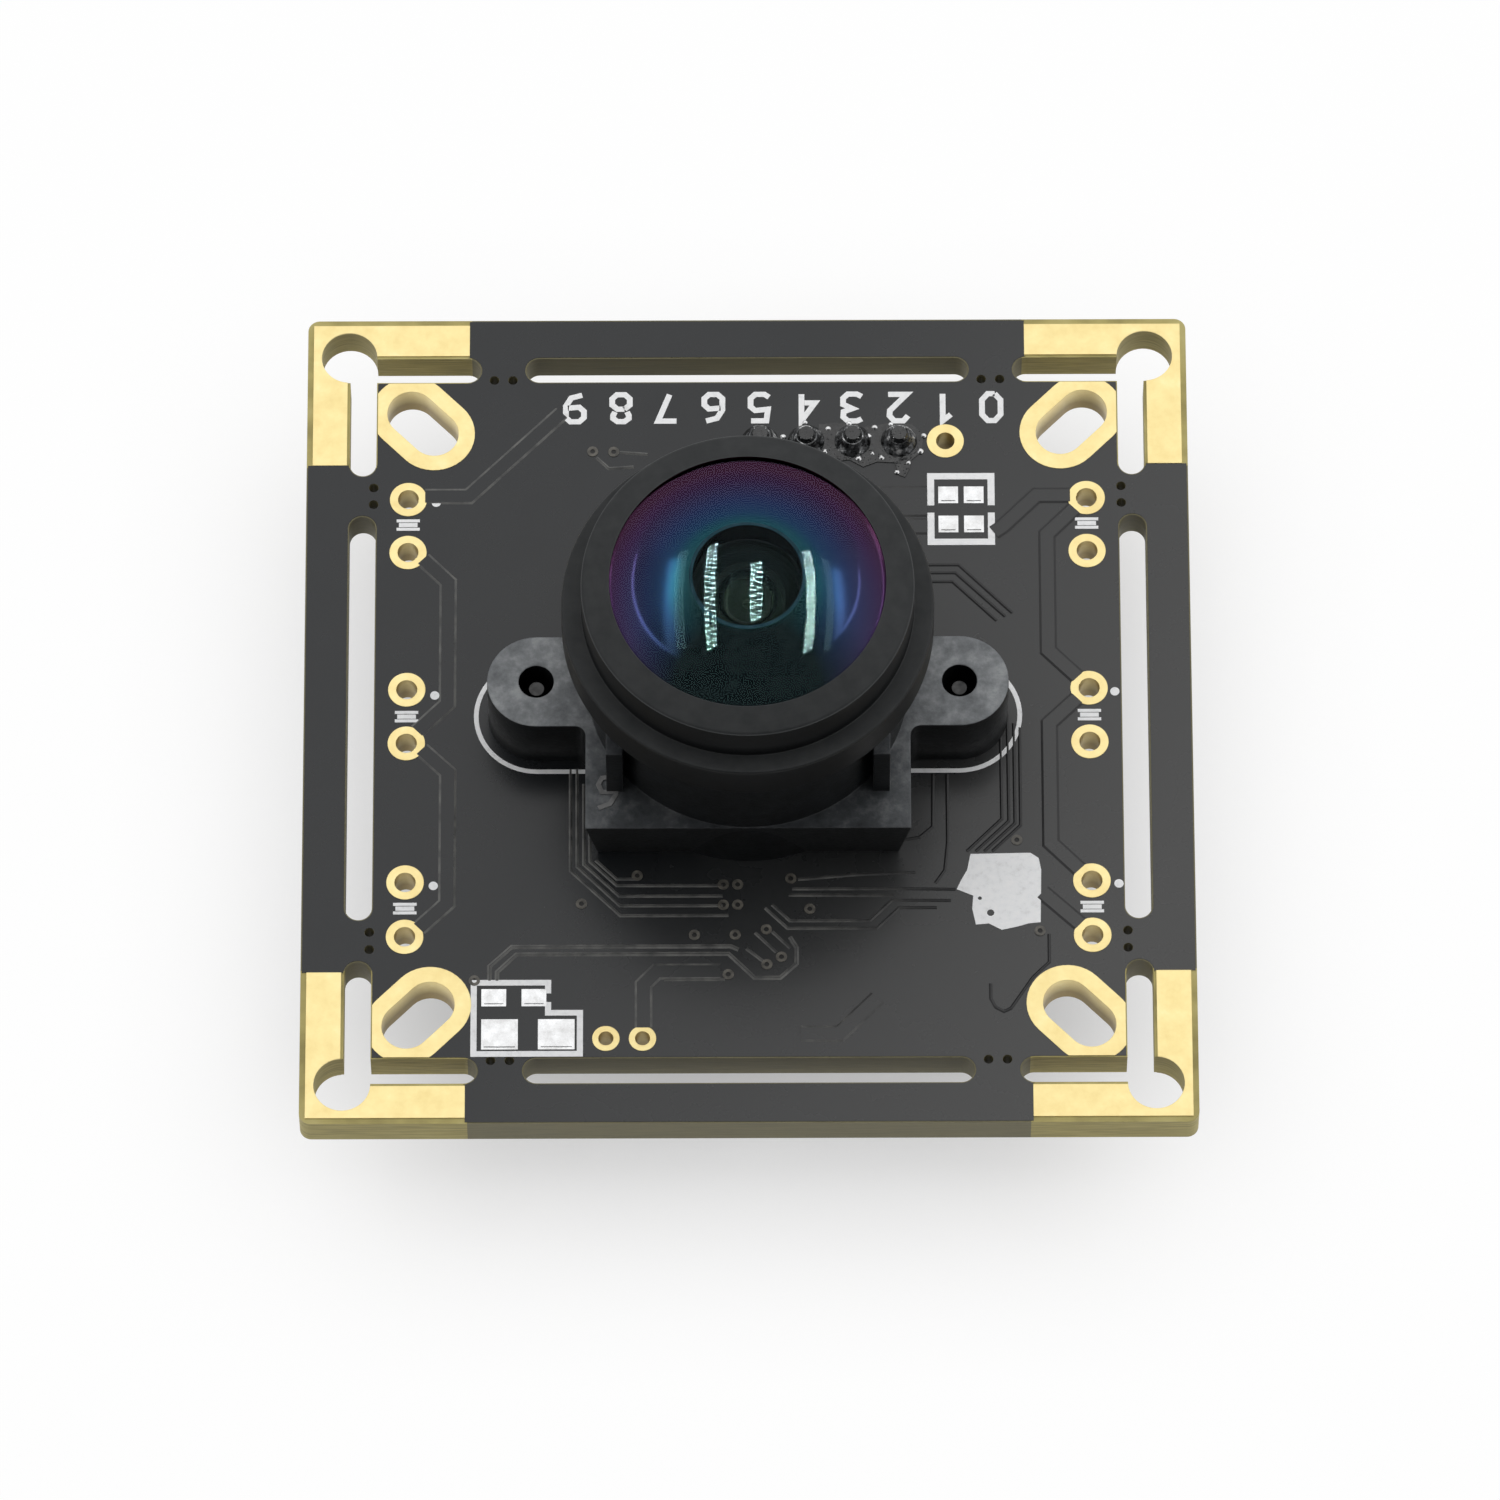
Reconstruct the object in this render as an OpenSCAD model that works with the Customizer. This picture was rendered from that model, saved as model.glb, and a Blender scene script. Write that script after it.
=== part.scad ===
// Board camera module: a square circuit board with a break-away rim, a moulded lens holder
// and a wide-angle threaded lens on its front, and the read-out electronics on its back.
// Millimetres. +Z is the optical axis. z = 0 is the back face of the board, which sits on
// the standoffs, and the origin is the centre of the corner hole pattern.

/* [Board] */
// Width and depth of the inner board, inside the routed slots
inner_w = 32; // [28:0.5:40]
// Width of the break-away rim outside the slots
rim_w = 1.85; // [1.6:0.05:5]
// Thickness of the laminate
board_t = 1.6; // [1:0.1:2.4]
// Radius of the board's outer corners
board_corner_r = 0.5; // [0.2:0.1:1]
// Width of the routed slots between the inner board and the rim
route_w = 1.15; // [0.9:0.05:1.3]
// Length of each corner slot's arm, from the inner board's edge
corner_arm_len = 4.5; // [3.5:0.1:5]
// Width of the tabs between the corner slots and the straight slots
tab_w = 1.95; // [1.7:0.05:3]
// Diameter of the perforation holes along each tab
bite_d = 0.4; // [0.3:0.05:0.6]
// Spacing of the two perforation holes of a tab
bite_pitch = 0.8; // [0.7:0.05:1]
// Diameter of the four round corner holes
corner_hole_d = 2.4; // [2.2:0.1:2.6]
// Thickness of copper and plating, on the faces and in the holes
copper_t = 0.05; // [0.03:0.01:0.1]

/* [Corner lands] */
// Length of each arm of the bare metal land, along the board's edge
land_arm = 6.75; // [5:0.25:9]
// Gap between the land and the board's outer edge
land_edge_gap = 0.25; // [0.1:0.05:0.4]
// Gap between the land and the routed slot
land_slot_gap = 0.12; // [0.05:0.01:0.3]

/* [Mounting slots] */
// Distance of the diagonal slots' centres from the inner board's edges
mount_inset = 2; // [1.9:0.05:2.2]
// Finished width of a diagonal slot
mount_slot_w = 2.1; // [1.6:0.1:2.4]
// Distance between the centres of a slot's two round ends
mount_slot_run = 1.4; // [0.6:0.1:1.6]
// Width of the metal ring around a diagonal slot
mount_ring = 0.7; // [0.4:0.05:0.8]

/* [Pin holes] */
// Spacing of the two pins of each lamp position
lamp_pin_pitch = 2.54; // [2:0.01:3]
// Distance from the inner board's edge to the middle of the nearest lamp position
lamp_end_gap = 6.92; // [6.6:0.02:8]
// Distance of the lamp pins from the inner board's edge
lamp_inset = 1.4; // [1.2:0.1:2]
// Finished diameter of a lamp pin hole
lamp_hole_d = 0.9; // [0.7:0.05:1]
// Diameter of the metal ring around a lamp pin hole
lamp_ring_d = 1.6; // [1.4:0.05:1.8]
// Finished diameter of the two test holes
test_hole_d = 0.64; // [0.5:0.02:0.8]
// Spacing of the two test holes
test_pitch = 1.55; // [1.4:0.05:2]
// Distance of the test holes from the inner board's edge
test_inset = 0.9; // [0.8:0.05:1.2]
// Diameter of the metal ring around a test hole
test_ring_d = 1.16; // [1:0.02:1.3]

/* [Lens holder] */
// How much narrower the base is at the board
holder_draft = 1; // [0.2:0.1:1.4]
// Height of the base and of the two ears
holder_base_h = 3.45; // [3.3:0.05:4.4]
// Height of the holder's tube above the board
tube_h = 8.3; // [7.8:0.1:8.6]
// Wall of the holder's tube
tube_wall = 0.82; // [0.7:0.02:1]
// Spacing of the two screw holes in the ears
ear_pitch = 18; // [17.6:0.1:19]
// Width of an ear
ear_w = 4.2; // [3.4:0.1:4.6]
// Diameter of the hole through an ear
ear_hole_d = 1.5; // [1.3:0.05:1.7]
// Radius of the fillet between an ear and the base
ear_fillet = 0.45; // [0.2:0.05:0.8]
// Width of the four stiffening ribs
rib_w = 0.7; // [0.4:0.1:1]
// Distance of the ribs from the holder's centre line
rib_x = 5.65; // [5:0.05:6]
// How far the ribs reach out from the tube
rib_reach = 1.3; // [0.8:0.1:2]
// Width of the square chamber over the sensor
chamber_w = 10.4; // [9.6:0.1:11]
// Height of the chamber over the sensor
chamber_h = 2.2; // [2:0.1:2.4]
// Thickness of the shelf that carries the filter
shelf_t = 0.7; // [0.5:0.1:0.8]
// Width of the square window in the shelf
window_w = 6.6; // [6:0.1:7]

/* [Lens] */
// Diameter of the lens thread
thread_d = 12; // [11.8:0.1:12.2]
// Gap between the holder's tube and the flange, filled by the locking adhesive
bead_gap = 0.65; // [0.4:0.05:1.2]
// How far the flange stands out from the lens head
flange_step = 0.85; // [0.6:0.05:1.5]
// Thickness of the flange
flange_t = 1.95; // [1.6:0.05:2.4]
// Wall of the lens head around the front element
head_wall = 0.85; // [0.7:0.05:1.2]
// Height of the lens head above the flange
head_h = 1.9; // [1.7:0.05:2.4]
// Rise of the bevelled face of the retaining ring
rim_rise = 0.4; // [0.2:0.05:0.7]
// Diameter of the opening in the retaining ring
glass_open_d = 11.6; // [10.4:0.1:13]
// How far the retaining ring reaches over the front element's edge
ring_lip = 0.35; // [0.2:0.05:0.5]
// Radius of curvature of the front element's outer face
front_r = 10.5; // [9:0.5:14]
// Diameter of the hollow behind the front element
front_hollow_d = 5.2; // [4.4:0.1:5.6]
// Radius of curvature of that hollow
front_hollow_r = 2.9; // [2.85:0.05:3.4]
// Thickness of the front element's edge
front_edge_t = 1; // [0.8:0.05:1.2]
// Length of the threaded part of the lens
thread_len = 4.9; // [4.5:0.1:5]

/* [Sensor] */
// Width of the image sensor's package
sensor_w = 8.6; // [7.6:0.1:9]
// Thickness of the package under its cover glass
sensor_t = 1.2; // [0.9:0.1:1.4]
// Thickness of the sensor's cover glass
cover_t = 0.4; // [0.3:0.05:0.5]
// Width of the light-sensitive chip
die_w = 5.6; // [4.8:0.1:5.8]
// Width of the square filter
filter_w = 7.6; // [7.4:0.1:8]
// Thickness of the filter
filter_t = 0.3; // [0.2:0.05:0.35]

/* [Cable connector] */
// Spacing of the connector's pins
wafer_pitch = 2; // [1.8:0.05:2.2]
// Distance of the connector's pins from the inner board's edge
wafer_inset = 2.9; // [2.8:0.1:3.6]
// Height of the connector's housing
wafer_h = 6; // [5:0.25:7]
// Depth of the connector's housing
wafer_depth = 4.5; // [4:0.1:5]
// Thickness of the housing's walls
wafer_wall = 0.6; // [0.5:0.05:0.8]
// Thickness of the housing's floor
wafer_floor = 1.6; // [1.2:0.1:2]
// Width of a pin
pin_w = 0.5; // [0.4:0.02:0.55]
// Diameter of a connector pin's hole
wafer_hole_d = 0.8; // [0.78:0.02:0.95]
// Height of the solder cone around a pin
solder_h = 0.6; // [0.4:0.05:0.9]

/* [Back side parts] */
// Width of the read-out controller's body
controller_w = 7; // [6:0.25:7.5]
// Height of the controller's body
controller_t = 1.4; // [1:0.1:1.6]
// Spacing of the controller's leads
lead_pitch = 0.5; // [0.45:0.01:0.52]
// Length of the memory chip's body
memory_l = 4.9; // [4.5:0.1:5.2]
// Width of the memory chip's body
memory_w = 3.9; // [3.5:0.1:4.2]
// Height of the memory chip's body
memory_t = 1.45; // [1.2:0.05:1.6]
// Length of the crystal's can
crystal_l = 3.2; // [2.5:0.1:3.6]
// Width of the crystal's can
crystal_w = 2.5; // [2:0.1:2.8]
// Width of the coil's square body
coil_w = 3; // [2.5:0.1:3.4]
// Diameter of the head of a holder screw
screw_head_d = 3; // [2.6:0.1:3.4]
// Height of the head of a holder screw
screw_head_h = 1.1; // [0.8:0.1:1.4]
// Depth of the screw's tip below the ear's top face
screw_tip_gap = 0.7; // [0.3:0.1:1.2]

/* [Hidden] */
$fn = 64;
eps = 0.01;
fit = 0.03;               // running gap between round parts that fit each other
glass_fit = 0.04;         // gap around a lens element in its seat
face = board_t;           // z of the board's front face
half = inner_w / 2;       // from the centre to the inner board's edge
board_w = inner_w + 2 * (route_w + rim_w);
route_mid = half + route_w / 2;
corner_c = half + route_w + 0.05;
lamp_x = half - lamp_inset;
lamp_step = half - lamp_end_gap;
lamp_y = [for (g = [-1:1], s = [-1, 1]) g * lamp_step + s * lamp_pin_pitch / 2];
corner_arm_start = half - corner_arm_len;
long_slot_len = 2 * (corner_arm_start - tab_w);
tab_mid = corner_arm_start - tab_w / 2;
bite_y = half + 0.1;
wafer_pins = 4;
wafer_row = [0.55, half - wafer_inset]; // first pin of the connector
wafer_mid = wafer_row.x + wafer_pitch * (wafer_pins - 1) / 2;
wafer_l = wafer_pitch * (wafer_pins - 1) + 3.9;
test_row = [-6.05, test_inset - half];
ear_x = ear_pitch / 2;
mount_c = half - mount_inset;
bore_d = thread_d + 2 * fit;          // bore of the holder's tube
tube_d = bore_d + 2 * tube_wall;
holder_w = tube_d + 0.1;              // the base is a little wider than the tube

// Diameters of the lens, from the glass outwards.
front_d = glass_open_d + 2 * ring_lip;
head_d = front_d + 2 * head_wall;
flange_d = head_d + 2 * flange_step;

// Heights inside the lens, above the board's back face.
thread_top = face + tube_h + bead_gap;
thread_bottom = thread_top - thread_len;
flange_top = thread_top + flange_t;
head_top = flange_top + head_h;
rim_top = head_top + rim_rise;
glass_lip = rim_top - 0.1;            // edge of the front element's visible face
front_back = glass_lip - front_edge_t;
front_centre = glass_lip - sqrt(front_r * front_r - glass_open_d * glass_open_d / 4);
hollow_centre = front_back
    - sqrt(front_hollow_r * front_hollow_r - front_hollow_d * front_hollow_d / 4);

// Stepped bore of the lens: seats from the front to the back.
second_d = 8.4;
second_t = 1.3;
second_seat = front_back - 1.9;
middle_d = 6.4;
third_t = 1.6;
third_r = 5;
rear_d = 8.2;
rear_depth = 2.2;
rear_r = 9;
retainer_t = 0.5;
middle_seat = thread_bottom + rear_depth + 0.5;
stop_t = 0.15;
stop_open_d = 1;
light_bore_d = 3.4;

GOLD = [0.93, 0.84, 0.5];
BLACK = [0.13, 0.13, 0.14];
TIN = [0.8, 0.81, 0.83];
GLASS = [0.25, 0.3, 0.5, 0.6];

// ---- shared shapes ----

// A rectangle with round corners, centred on the origin.
module rounded_rect(w, h, r) {
    square([w - 2 * r, h], center = true);
    square([w, h - 2 * r], center = true);
    for (x = [-1, 1], y = [-1, 1])
        translate([x * (w / 2 - r), y * (h / 2 - r)]) circle(r);
}

// A strip with round ends, from the centre of one end to the centre of the other.
module stadium(p, q, w) {
    run = q - p;
    for (end = [p, q])
        translate(end) circle(d = w);
    translate((p + q) / 2) rotate(atan2(run.y, run.x)) square([norm(run), w], center = true);
}

// A flat ring standing on z.
module tube(z, h, outer_d, inner_d) {
    translate([0, 0, z]) difference() {
        cylinder(h = h, d = outer_d);
        translate([0, 0, -eps]) cylinder(h = h + 2 * eps, d = inner_d);
    }
}

// Copies its children into the four quadrants.
module quadrants() {
    for (x = [0, 1], y = [0, 1])
        mirror([x, 0, 0]) mirror([0, y, 0]) children();
}

// Copies its children to the four sides of the board.
module four_sides() {
    for (a = [0:90:270])
        rotate(a) children();
}

// ---- the board ----

// The L-shaped slot and the round hole of one corner.
module corner_route() {
    tip = corner_arm_start + route_w / 2;
    stadium([tip, route_mid], [route_mid, route_mid], route_w);
    stadium([route_mid, tip], [route_mid, route_mid], route_w);
    translate([corner_c, corner_c]) circle(d = corner_hole_d);
}

module long_route() {
    end = (long_slot_len - route_w) / 2;
    stadium([-end, route_mid], [end, route_mid], route_w);
}

module tab_bites() {
    for (tab = [-1, 1], s = [-1, 1])
        translate([tab * tab_mid + s * bite_pitch / 2, bite_y]) circle(d = bite_d, $fn = 24);
}

module diagonal_slot(w) {
    step = mount_slot_run / 2 / sqrt(2);
    stadium([mount_c - step, mount_c - step], [mount_c + step, mount_c + step], w);
}

// Places of the plated holes, as two-dimensional copies of the children.
module at_lamp_holes() {
    for (x = [-lamp_x, lamp_x], y = lamp_y)
        translate([x, y]) children();
}

module at_wafer_holes(first = 0, last = wafer_pins) {
    for (i = [first:last])
        translate([wafer_row.x + i * wafer_pitch, wafer_row.y]) children();
}

module at_test_holes() {
    for (i = [0, 1])
        translate([test_row.x + i * test_pitch, test_row.y]) children();
}

module at_ears() {
    for (x = [-ear_x, ear_x])
        translate([x, 0]) children();
}

module circuit_board() {
    color([0.2, 0.21, 0.22]) difference() {
        linear_extrude(board_t) rounded_rect(board_w, board_w, board_corner_r);
        translate([0, 0, -eps]) linear_extrude(board_t + 2 * eps) {
            quadrants() corner_route();
            four_sides() long_route();
            four_sides() tab_bites();
            quadrants() diagonal_slot(mount_slot_w + 2 * copper_t);
            at_lamp_holes() circle(d = lamp_hole_d + 2 * copper_t);
            at_wafer_holes() circle(d = wafer_hole_d + 2 * copper_t);
            at_test_holes() circle(d = test_hole_d + 2 * copper_t);
            at_ears() circle(d = ear_hole_d + 0.1);
        }
    }
}

// One bare metal corner land, cut back from the edges, the slot and the hole.
module corner_land() {
    outer = board_w / 2 - land_edge_gap;
    inner = half + route_w + land_slot_gap;
    arm = board_w / 2 - land_edge_gap - land_arm;
    difference() {
        union() {
            translate([arm, inner]) square([outer - arm, outer - inner]);
            translate([inner, arm]) square([outer - inner, outer - arm]);
        }
        translate([corner_c, corner_c]) circle(d = corner_hole_d);
    }
}

module corner_lands() {
    color(GOLD) for (z = [face, -copper_t])
        translate([0, 0, z]) linear_extrude(copper_t) quadrants() corner_land();
}

// Plating of a hole: a sleeve through the board with a flat ring on each face.
module plated_sleeve() {
    translate([0, 0, -copper_t]) linear_extrude(board_t + 2 * copper_t) children(0);
    for (z = [-copper_t, face])
        translate([0, 0, z]) linear_extrude(copper_t) children(1);
}

module plated_round(hole_d, ring_d) {
    plated_sleeve() {
        difference() {
            circle(d = hole_d + 2 * copper_t - 2 * eps);
            circle(d = hole_d);
        }
        difference() {
            circle(d = ring_d);
            circle(d = hole_d);
        }
    }
}

module slot_plating() {
    keep = half - 0.05;
    color(GOLD) quadrants() plated_sleeve() {
        difference() {
            diagonal_slot(mount_slot_w + 2 * copper_t - 2 * eps);
            diagonal_slot(mount_slot_w);
        }
        difference() {
            intersection() {
                diagonal_slot(mount_slot_w + 2 * mount_ring);
                square(keep);
            }
            diagonal_slot(mount_slot_w);
        }
    }
}

module lamp_hole_plating() {
    color(GOLD) at_lamp_holes() plated_round(lamp_hole_d, lamp_ring_d);
}

module pin_hole_plating() {
    color(GOLD) at_wafer_holes() plated_round(wafer_hole_d, lamp_ring_d);
}

module test_hole_plating() {
    color(GOLD) at_test_holes() plated_round(test_hole_d, test_ring_d);
}

// Pads for parts that aren't fitted. Each pair has its middle, its spacing and its pads' size.
small_pad = [0.85, 0.8];
middle_pad = [1.05, 0.8];
large_pad = [1.55, 1.4];
upper_pairs = [[half - 6.8, half - 5.5], [half - 6.8, half - 6.9]];
middle_pair = [6.05 - half, 2.8 - half];
large_pair = [6.65 - half, 1.1 - half];

// Two tinned pads: thin slabs with a lower, narrower crown of solder.
module pad_pair(at, pitch, size) {
    crown = 0.12;
    for (s = [-1, 1])
        translate([at.x + s * pitch / 2, at.y, face]) {
            linear_extrude(copper_t) square(size, center = true);
            translate([0, 0, copper_t]) linear_extrude(copper_t)
                square([size.x - 2 * crown, size.y - 2 * crown], center = true);
        }
}

module solder_pads() {
    color(TIN) {
        for (at = upper_pairs)
            pad_pair(at, 1.1, small_pad);
        pad_pair(middle_pair, 1.7, middle_pad);
        pad_pair(large_pair, 2.4, large_pad);
    }
}

// Solder drawn up around each soldered pin of the connector.
module pin_solder() {
    bore_r = pin_w * 0.72;
    foot_r = lamp_ring_d / 2;
    color(TIN) at_wafer_holes(0, wafer_pins - 1) translate([0, 0, face + copper_t]) rotate_extrude()
        polygon([
            [bore_r, 0], [foot_r, 0], [foot_r * 0.92, solder_h * 0.18],
            [foot_r * 0.72, solder_h * 0.5], [bore_r + 0.1, solder_h], [bore_r, solder_h]
        ]);
}

// ---- lens holder ----

// The square base: two crossed prisms with sides that lean out towards the top.
module holder_base() {
    top = holder_w / 2;
    foot = top - holder_draft / 2;
    intersection_for (a = [0, 90])
        rotate(a) rotate([90, 0, 0]) linear_extrude(holder_w + 1, center = true)
            polygon([[-foot, 0], [foot, 0], [top, holder_base_h], [-top, holder_base_h]]);
}

// The fillet in the corner between an ear and the base, in plan.
module ear_corner_fillet() {
    x = holder_w / 2 - holder_draft / 2;
    run = holder_draft / 2 + ear_fillet;
    translate([x, ear_w / 2 - eps]) difference() {
        square([run, ear_fillet + eps]);
        translate([run, ear_fillet + eps]) circle(ear_fillet);
    }
}

module holder_ears() {
    linear_extrude(holder_base_h) {
        stadium([-ear_x, 0], [ear_x, 0], ear_w);
        quadrants() ear_corner_fillet();
    }
}

// Thin upright ribs between the tube and the base's top face.
module holder_ribs() {
    reach = sqrt(tube_d * tube_d / 4 - rib_x * rib_x) + rib_reach;
    for (x = [-rib_x, rib_x])
        translate([x - rib_w / 2, -reach, holder_base_h - 0.5])
            cube([rib_w, 2 * reach, tube_h - holder_base_h - 0.7]);
}

module lens_holder() {
    color(BLACK) translate([0, 0, face]) difference() {
        union() {
            holder_base();
            holder_ears();
            holder_ribs();
            cylinder(h = tube_h, d = tube_d);
        }
        translate([0, 0, chamber_h + shelf_t]) cylinder(h = tube_h, d = bore_d);
        translate([-chamber_w / 2, -chamber_w / 2, -eps]) cube([chamber_w, chamber_w, chamber_h + eps]);
        translate([-window_w / 2, -window_w / 2, 0]) cube([window_w, window_w, tube_h]);
        at_ears() translate([0, 0, -eps]) cylinder(h = holder_base_h + 1, d = ear_hole_d);
    }
}

// Two tapping screws from the back: domed head with a cross recess, shank and pointed tip.
module holder_screws() {
    shank_d = ear_hole_d - 2 * fit;
    tip_z = face + holder_base_h - screw_tip_gap;
    cone = shank_d / 2;
    color(BLACK) at_ears() difference() {
        union() {
            translate([0, 0, -screw_head_h]) cylinder(h = screw_head_h, d = screw_head_d);
            cylinder(h = tip_z - cone, d = shank_d);
            translate([0, 0, tip_z - cone]) cylinder(h = cone, d1 = shank_d, d2 = shank_d * 0.45);
        }
        for (a = [0, 90])
            rotate(a) translate([-screw_head_d * 0.3, -0.2, -screw_head_h - eps])
                cube([screw_head_d * 0.6, 0.4, 0.6]);
    }
}

// ---- image sensor and filter ----

module sensor_package() {
    pocket = sensor_w - 1.6;
    color([0.3, 0.26, 0.22]) translate([0, 0, face]) difference() {
        translate([-sensor_w / 2, -sensor_w / 2, 0]) cube([sensor_w, sensor_w, sensor_t]);
        translate([-pocket / 2, -pocket / 2, 0.5]) cube([pocket, pocket, sensor_t]);
    }
}

module sensor_die() {
    color([0.35, 0.5, 0.55]) translate([-die_w / 2, -die_w / 2, face + 0.5])
        cube([die_w, die_w, 0.25]);
}

module sensor_cover() {
    w = sensor_w - 0.4;
    color(GLASS) translate([-w / 2, -w / 2, face + sensor_t]) cube([w, w, cover_t]);
}

module filter_glass() {
    color(GLASS) translate([-filter_w / 2, -filter_w / 2, face + chamber_h + shelf_t])
        cube([filter_w, filter_w, filter_t]);
}

// ---- lens ----

// A round solid between two heights.
module rod(low, high, d) {
    translate([0, 0, low]) cylinder(h = high - low, d = d);
}

// The lens body: thread, flange and head in one, bored in steps for the glass.
module lens_barrel() {
    front_seat_d = front_d + 2 * glass_fit;
    color(BLACK) difference() {
        union() {
            translate([0, 0, thread_bottom]) cylinder(h = thread_len + eps, d = thread_d);
            translate([0, 0, thread_top]) cylinder(h = flange_t - 0.15, d = flange_d);
            translate([0, 0, flange_top - 0.15])
                cylinder(h = 0.15, d1 = flange_d, d2 = flange_d - 0.3);
            translate([0, 0, thread_top]) cylinder(h = head_top - thread_top, d = head_d);
        }
        rod(front_back, head_top + eps, front_seat_d);
        rod(second_seat, head_top, second_d + 2 * glass_fit);
        rod(middle_seat, head_top, middle_d + 2 * glass_fit);
        rod(thread_bottom, head_top, light_bore_d);
        rod(thread_bottom - eps, thread_bottom + rear_depth, rear_d + 2 * glass_fit);
    }
}

// Adhesive that locks the lens thread, between the tube's end and the flange.
module lock_bead() {
    low = face + tube_h;
    mid = (low + thread_top) / 2;
    color([0.2, 0.2, 0.21]) rotate_extrude()
        polygon([
            [thread_d / 2 + fit, low], [tube_d / 2 - 0.1, low], [tube_d / 2 + 0.1, mid],
            [tube_d / 2, thread_top], [thread_d / 2 + fit, thread_top]
        ]);
}

// The ring that holds the front element, with a bevelled face.
module retaining_ring() {
    color(BLACK) rotate_extrude()
        polygon([
            [glass_open_d / 2, rim_top], [head_d / 2 - 0.1, head_top + 0.06], [head_d / 2, head_top],
            [front_d / 2 + glass_fit, head_top], [front_d / 2 + glass_fit, head_top - eps],
            [glass_open_d / 2 + 0.05, glass_lip]
        ]);
}

// The domed front element, hollow behind.
module front_element() {
    color(GLASS) difference() {
        intersection() {
            translate([0, 0, front_centre]) sphere(front_r, $fn = 96);
            union() {
                rod(front_back, front_centre + front_r + 1, glass_open_d);
                rod(front_back, head_top - 0.05, front_d);
            }
        }
        translate([0, 0, hollow_centre]) sphere(front_hollow_r);
    }
}

// A lens element with one flat face and one face cut from a sphere of radius r.
module element(z, d, t, r, domed_up) {
    intersection() {
        translate([0, 0, z]) cylinder(h = t, d = d);
        translate([0, 0, domed_up ? z + t - r : z + r]) sphere(r);
    }
}

module second_element() {
    hollow_r = 2;
    color(GLASS) difference() {
        element(second_seat, second_d, second_t, 9, true);
        translate([0, 0, second_seat - 1.1]) sphere(hollow_r);
    }
}

// The sleeve between the seat of the second element and the stop.
module spacer_sleeve() {
    low = middle_seat + stop_t + third_t;
    color(BLACK) tube(low, second_seat - low, middle_d, 4.2);
}

module third_element() {
    color(GLASS) element(middle_seat + stop_t, middle_d, third_t, third_r, true);
}

module aperture_stop() {
    color(BLACK) tube(middle_seat, stop_t, middle_d, stop_open_d);
}

module rear_element() {
    color(GLASS) element(thread_bottom + retainer_t, rear_d, rear_depth - retainer_t, rear_r, false);
}

module rear_retainer() {
    color(BLACK) tube(thread_bottom, retainer_t, rear_d, rear_d - 1.4);
}

// ---- cable connector ----

module wafer_housing() {
    back = wafer_depth * 0.62;
    color([0.93, 0.92, 0.88]) translate([wafer_mid, wafer_row.y, -wafer_h]) difference() {
        translate([-wafer_l / 2, -back, 0]) cube([wafer_l, wafer_depth, wafer_h - copper_t]);
        translate([-wafer_l / 2 + wafer_wall, -back + wafer_wall, -eps])
            cube([wafer_l - 2 * wafer_wall, wafer_depth - 2 * wafer_wall, wafer_h - wafer_floor + eps]);
        for (x = [-1, 1])
            translate([x * wafer_l * 0.3 - 0.6, -back - eps, -eps])
                cube([1.2, wafer_wall + 2 * eps, wafer_h * 0.55]);
        for (i = [0:wafer_pins - 1])
            translate([wafer_row.x + i * wafer_pitch - wafer_mid, 0, wafer_h - wafer_floor - eps])
                cylinder(h = wafer_floor + 1, d = pin_w * 1.44);
    }
}

module wafer_contacts() {
    top = face + copper_t + solder_h + 0.2;
    low = -wafer_h + 1;
    color(TIN) at_wafer_holes(0, wafer_pins - 1) translate([-pin_w / 2, -pin_w / 2, low])
        cube([pin_w, pin_w, top - low]);
}

// ---- parts on the back ----

// A moulded body on the back face, with a chamfered belt, centred on the origin.
module moulded_body(l, w, t, standoff = 0.1) {
    slope = 0.12;
    waist = standoff + t / 2;
    intersection() {
        rotate([90, 0, 0]) linear_extrude(w + 1, center = true)
            polygon([
                [-l / 2 + slope, -standoff], [l / 2 - slope, -standoff], [l / 2, -waist],
                [l / 2 - slope, -standoff - t], [-l / 2 + slope, -standoff - t], [-l / 2, -waist]
            ]);
        rotate([90, 0, 90]) linear_extrude(l + 1, center = true)
            polygon([
                [-w / 2 + slope, -standoff], [w / 2 - slope, -standoff], [w / 2, -waist],
                [w / 2 - slope, -standoff - t], [-w / 2 + slope, -standoff - t], [-w / 2, -waist]
            ]);
    }
}

// One bent lead: out of the body at height z, down to the board's back face.
module gull_lead(root, reach, z, w) {
    t = 0.15;
    rotate([90, 0, 0]) linear_extrude(w, center = true)
        polygon([
            [root, -z - t / 2], [root, -z + t / 2], [root + 0.35, -z + t / 2], [root + 0.5, 0],
            [root + reach, 0], [root + reach, -t], [root + 0.62, -t], [root + 0.45, -z - t / 2]
        ]);
}

module lead_row(count, pitch, root, reach, z, w) {
    for (i = [0:count - 1])
        translate([0, (i - (count - 1) / 2) * pitch]) gull_lead(root, reach, z, w);
}

controller_at = [0, -2.2];
memory_at = [6.4 - half, 6.8 - half];
crystal_at = [half - 8.2, 7.4 - half];
coil_at = [half - 6.4, half - 8.6];
regulator_at = [[6.6 - half, half - 8.4], [-3.6, half - 5.6]];

module controller_body() {
    color([0.1, 0.1, 0.11]) translate(controller_at) moulded_body(controller_w, controller_w, controller_t);
}

module controller_leads() {
    color(TIN) translate(controller_at) four_sides()
        lead_row(12, lead_pitch, controller_w / 2, 1, 0.1 + controller_t / 2, 0.22);
}

module memory_body() {
    color([0.1, 0.1, 0.11]) translate(memory_at) rotate(90) moulded_body(memory_l, memory_w, memory_t);
}

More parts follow.
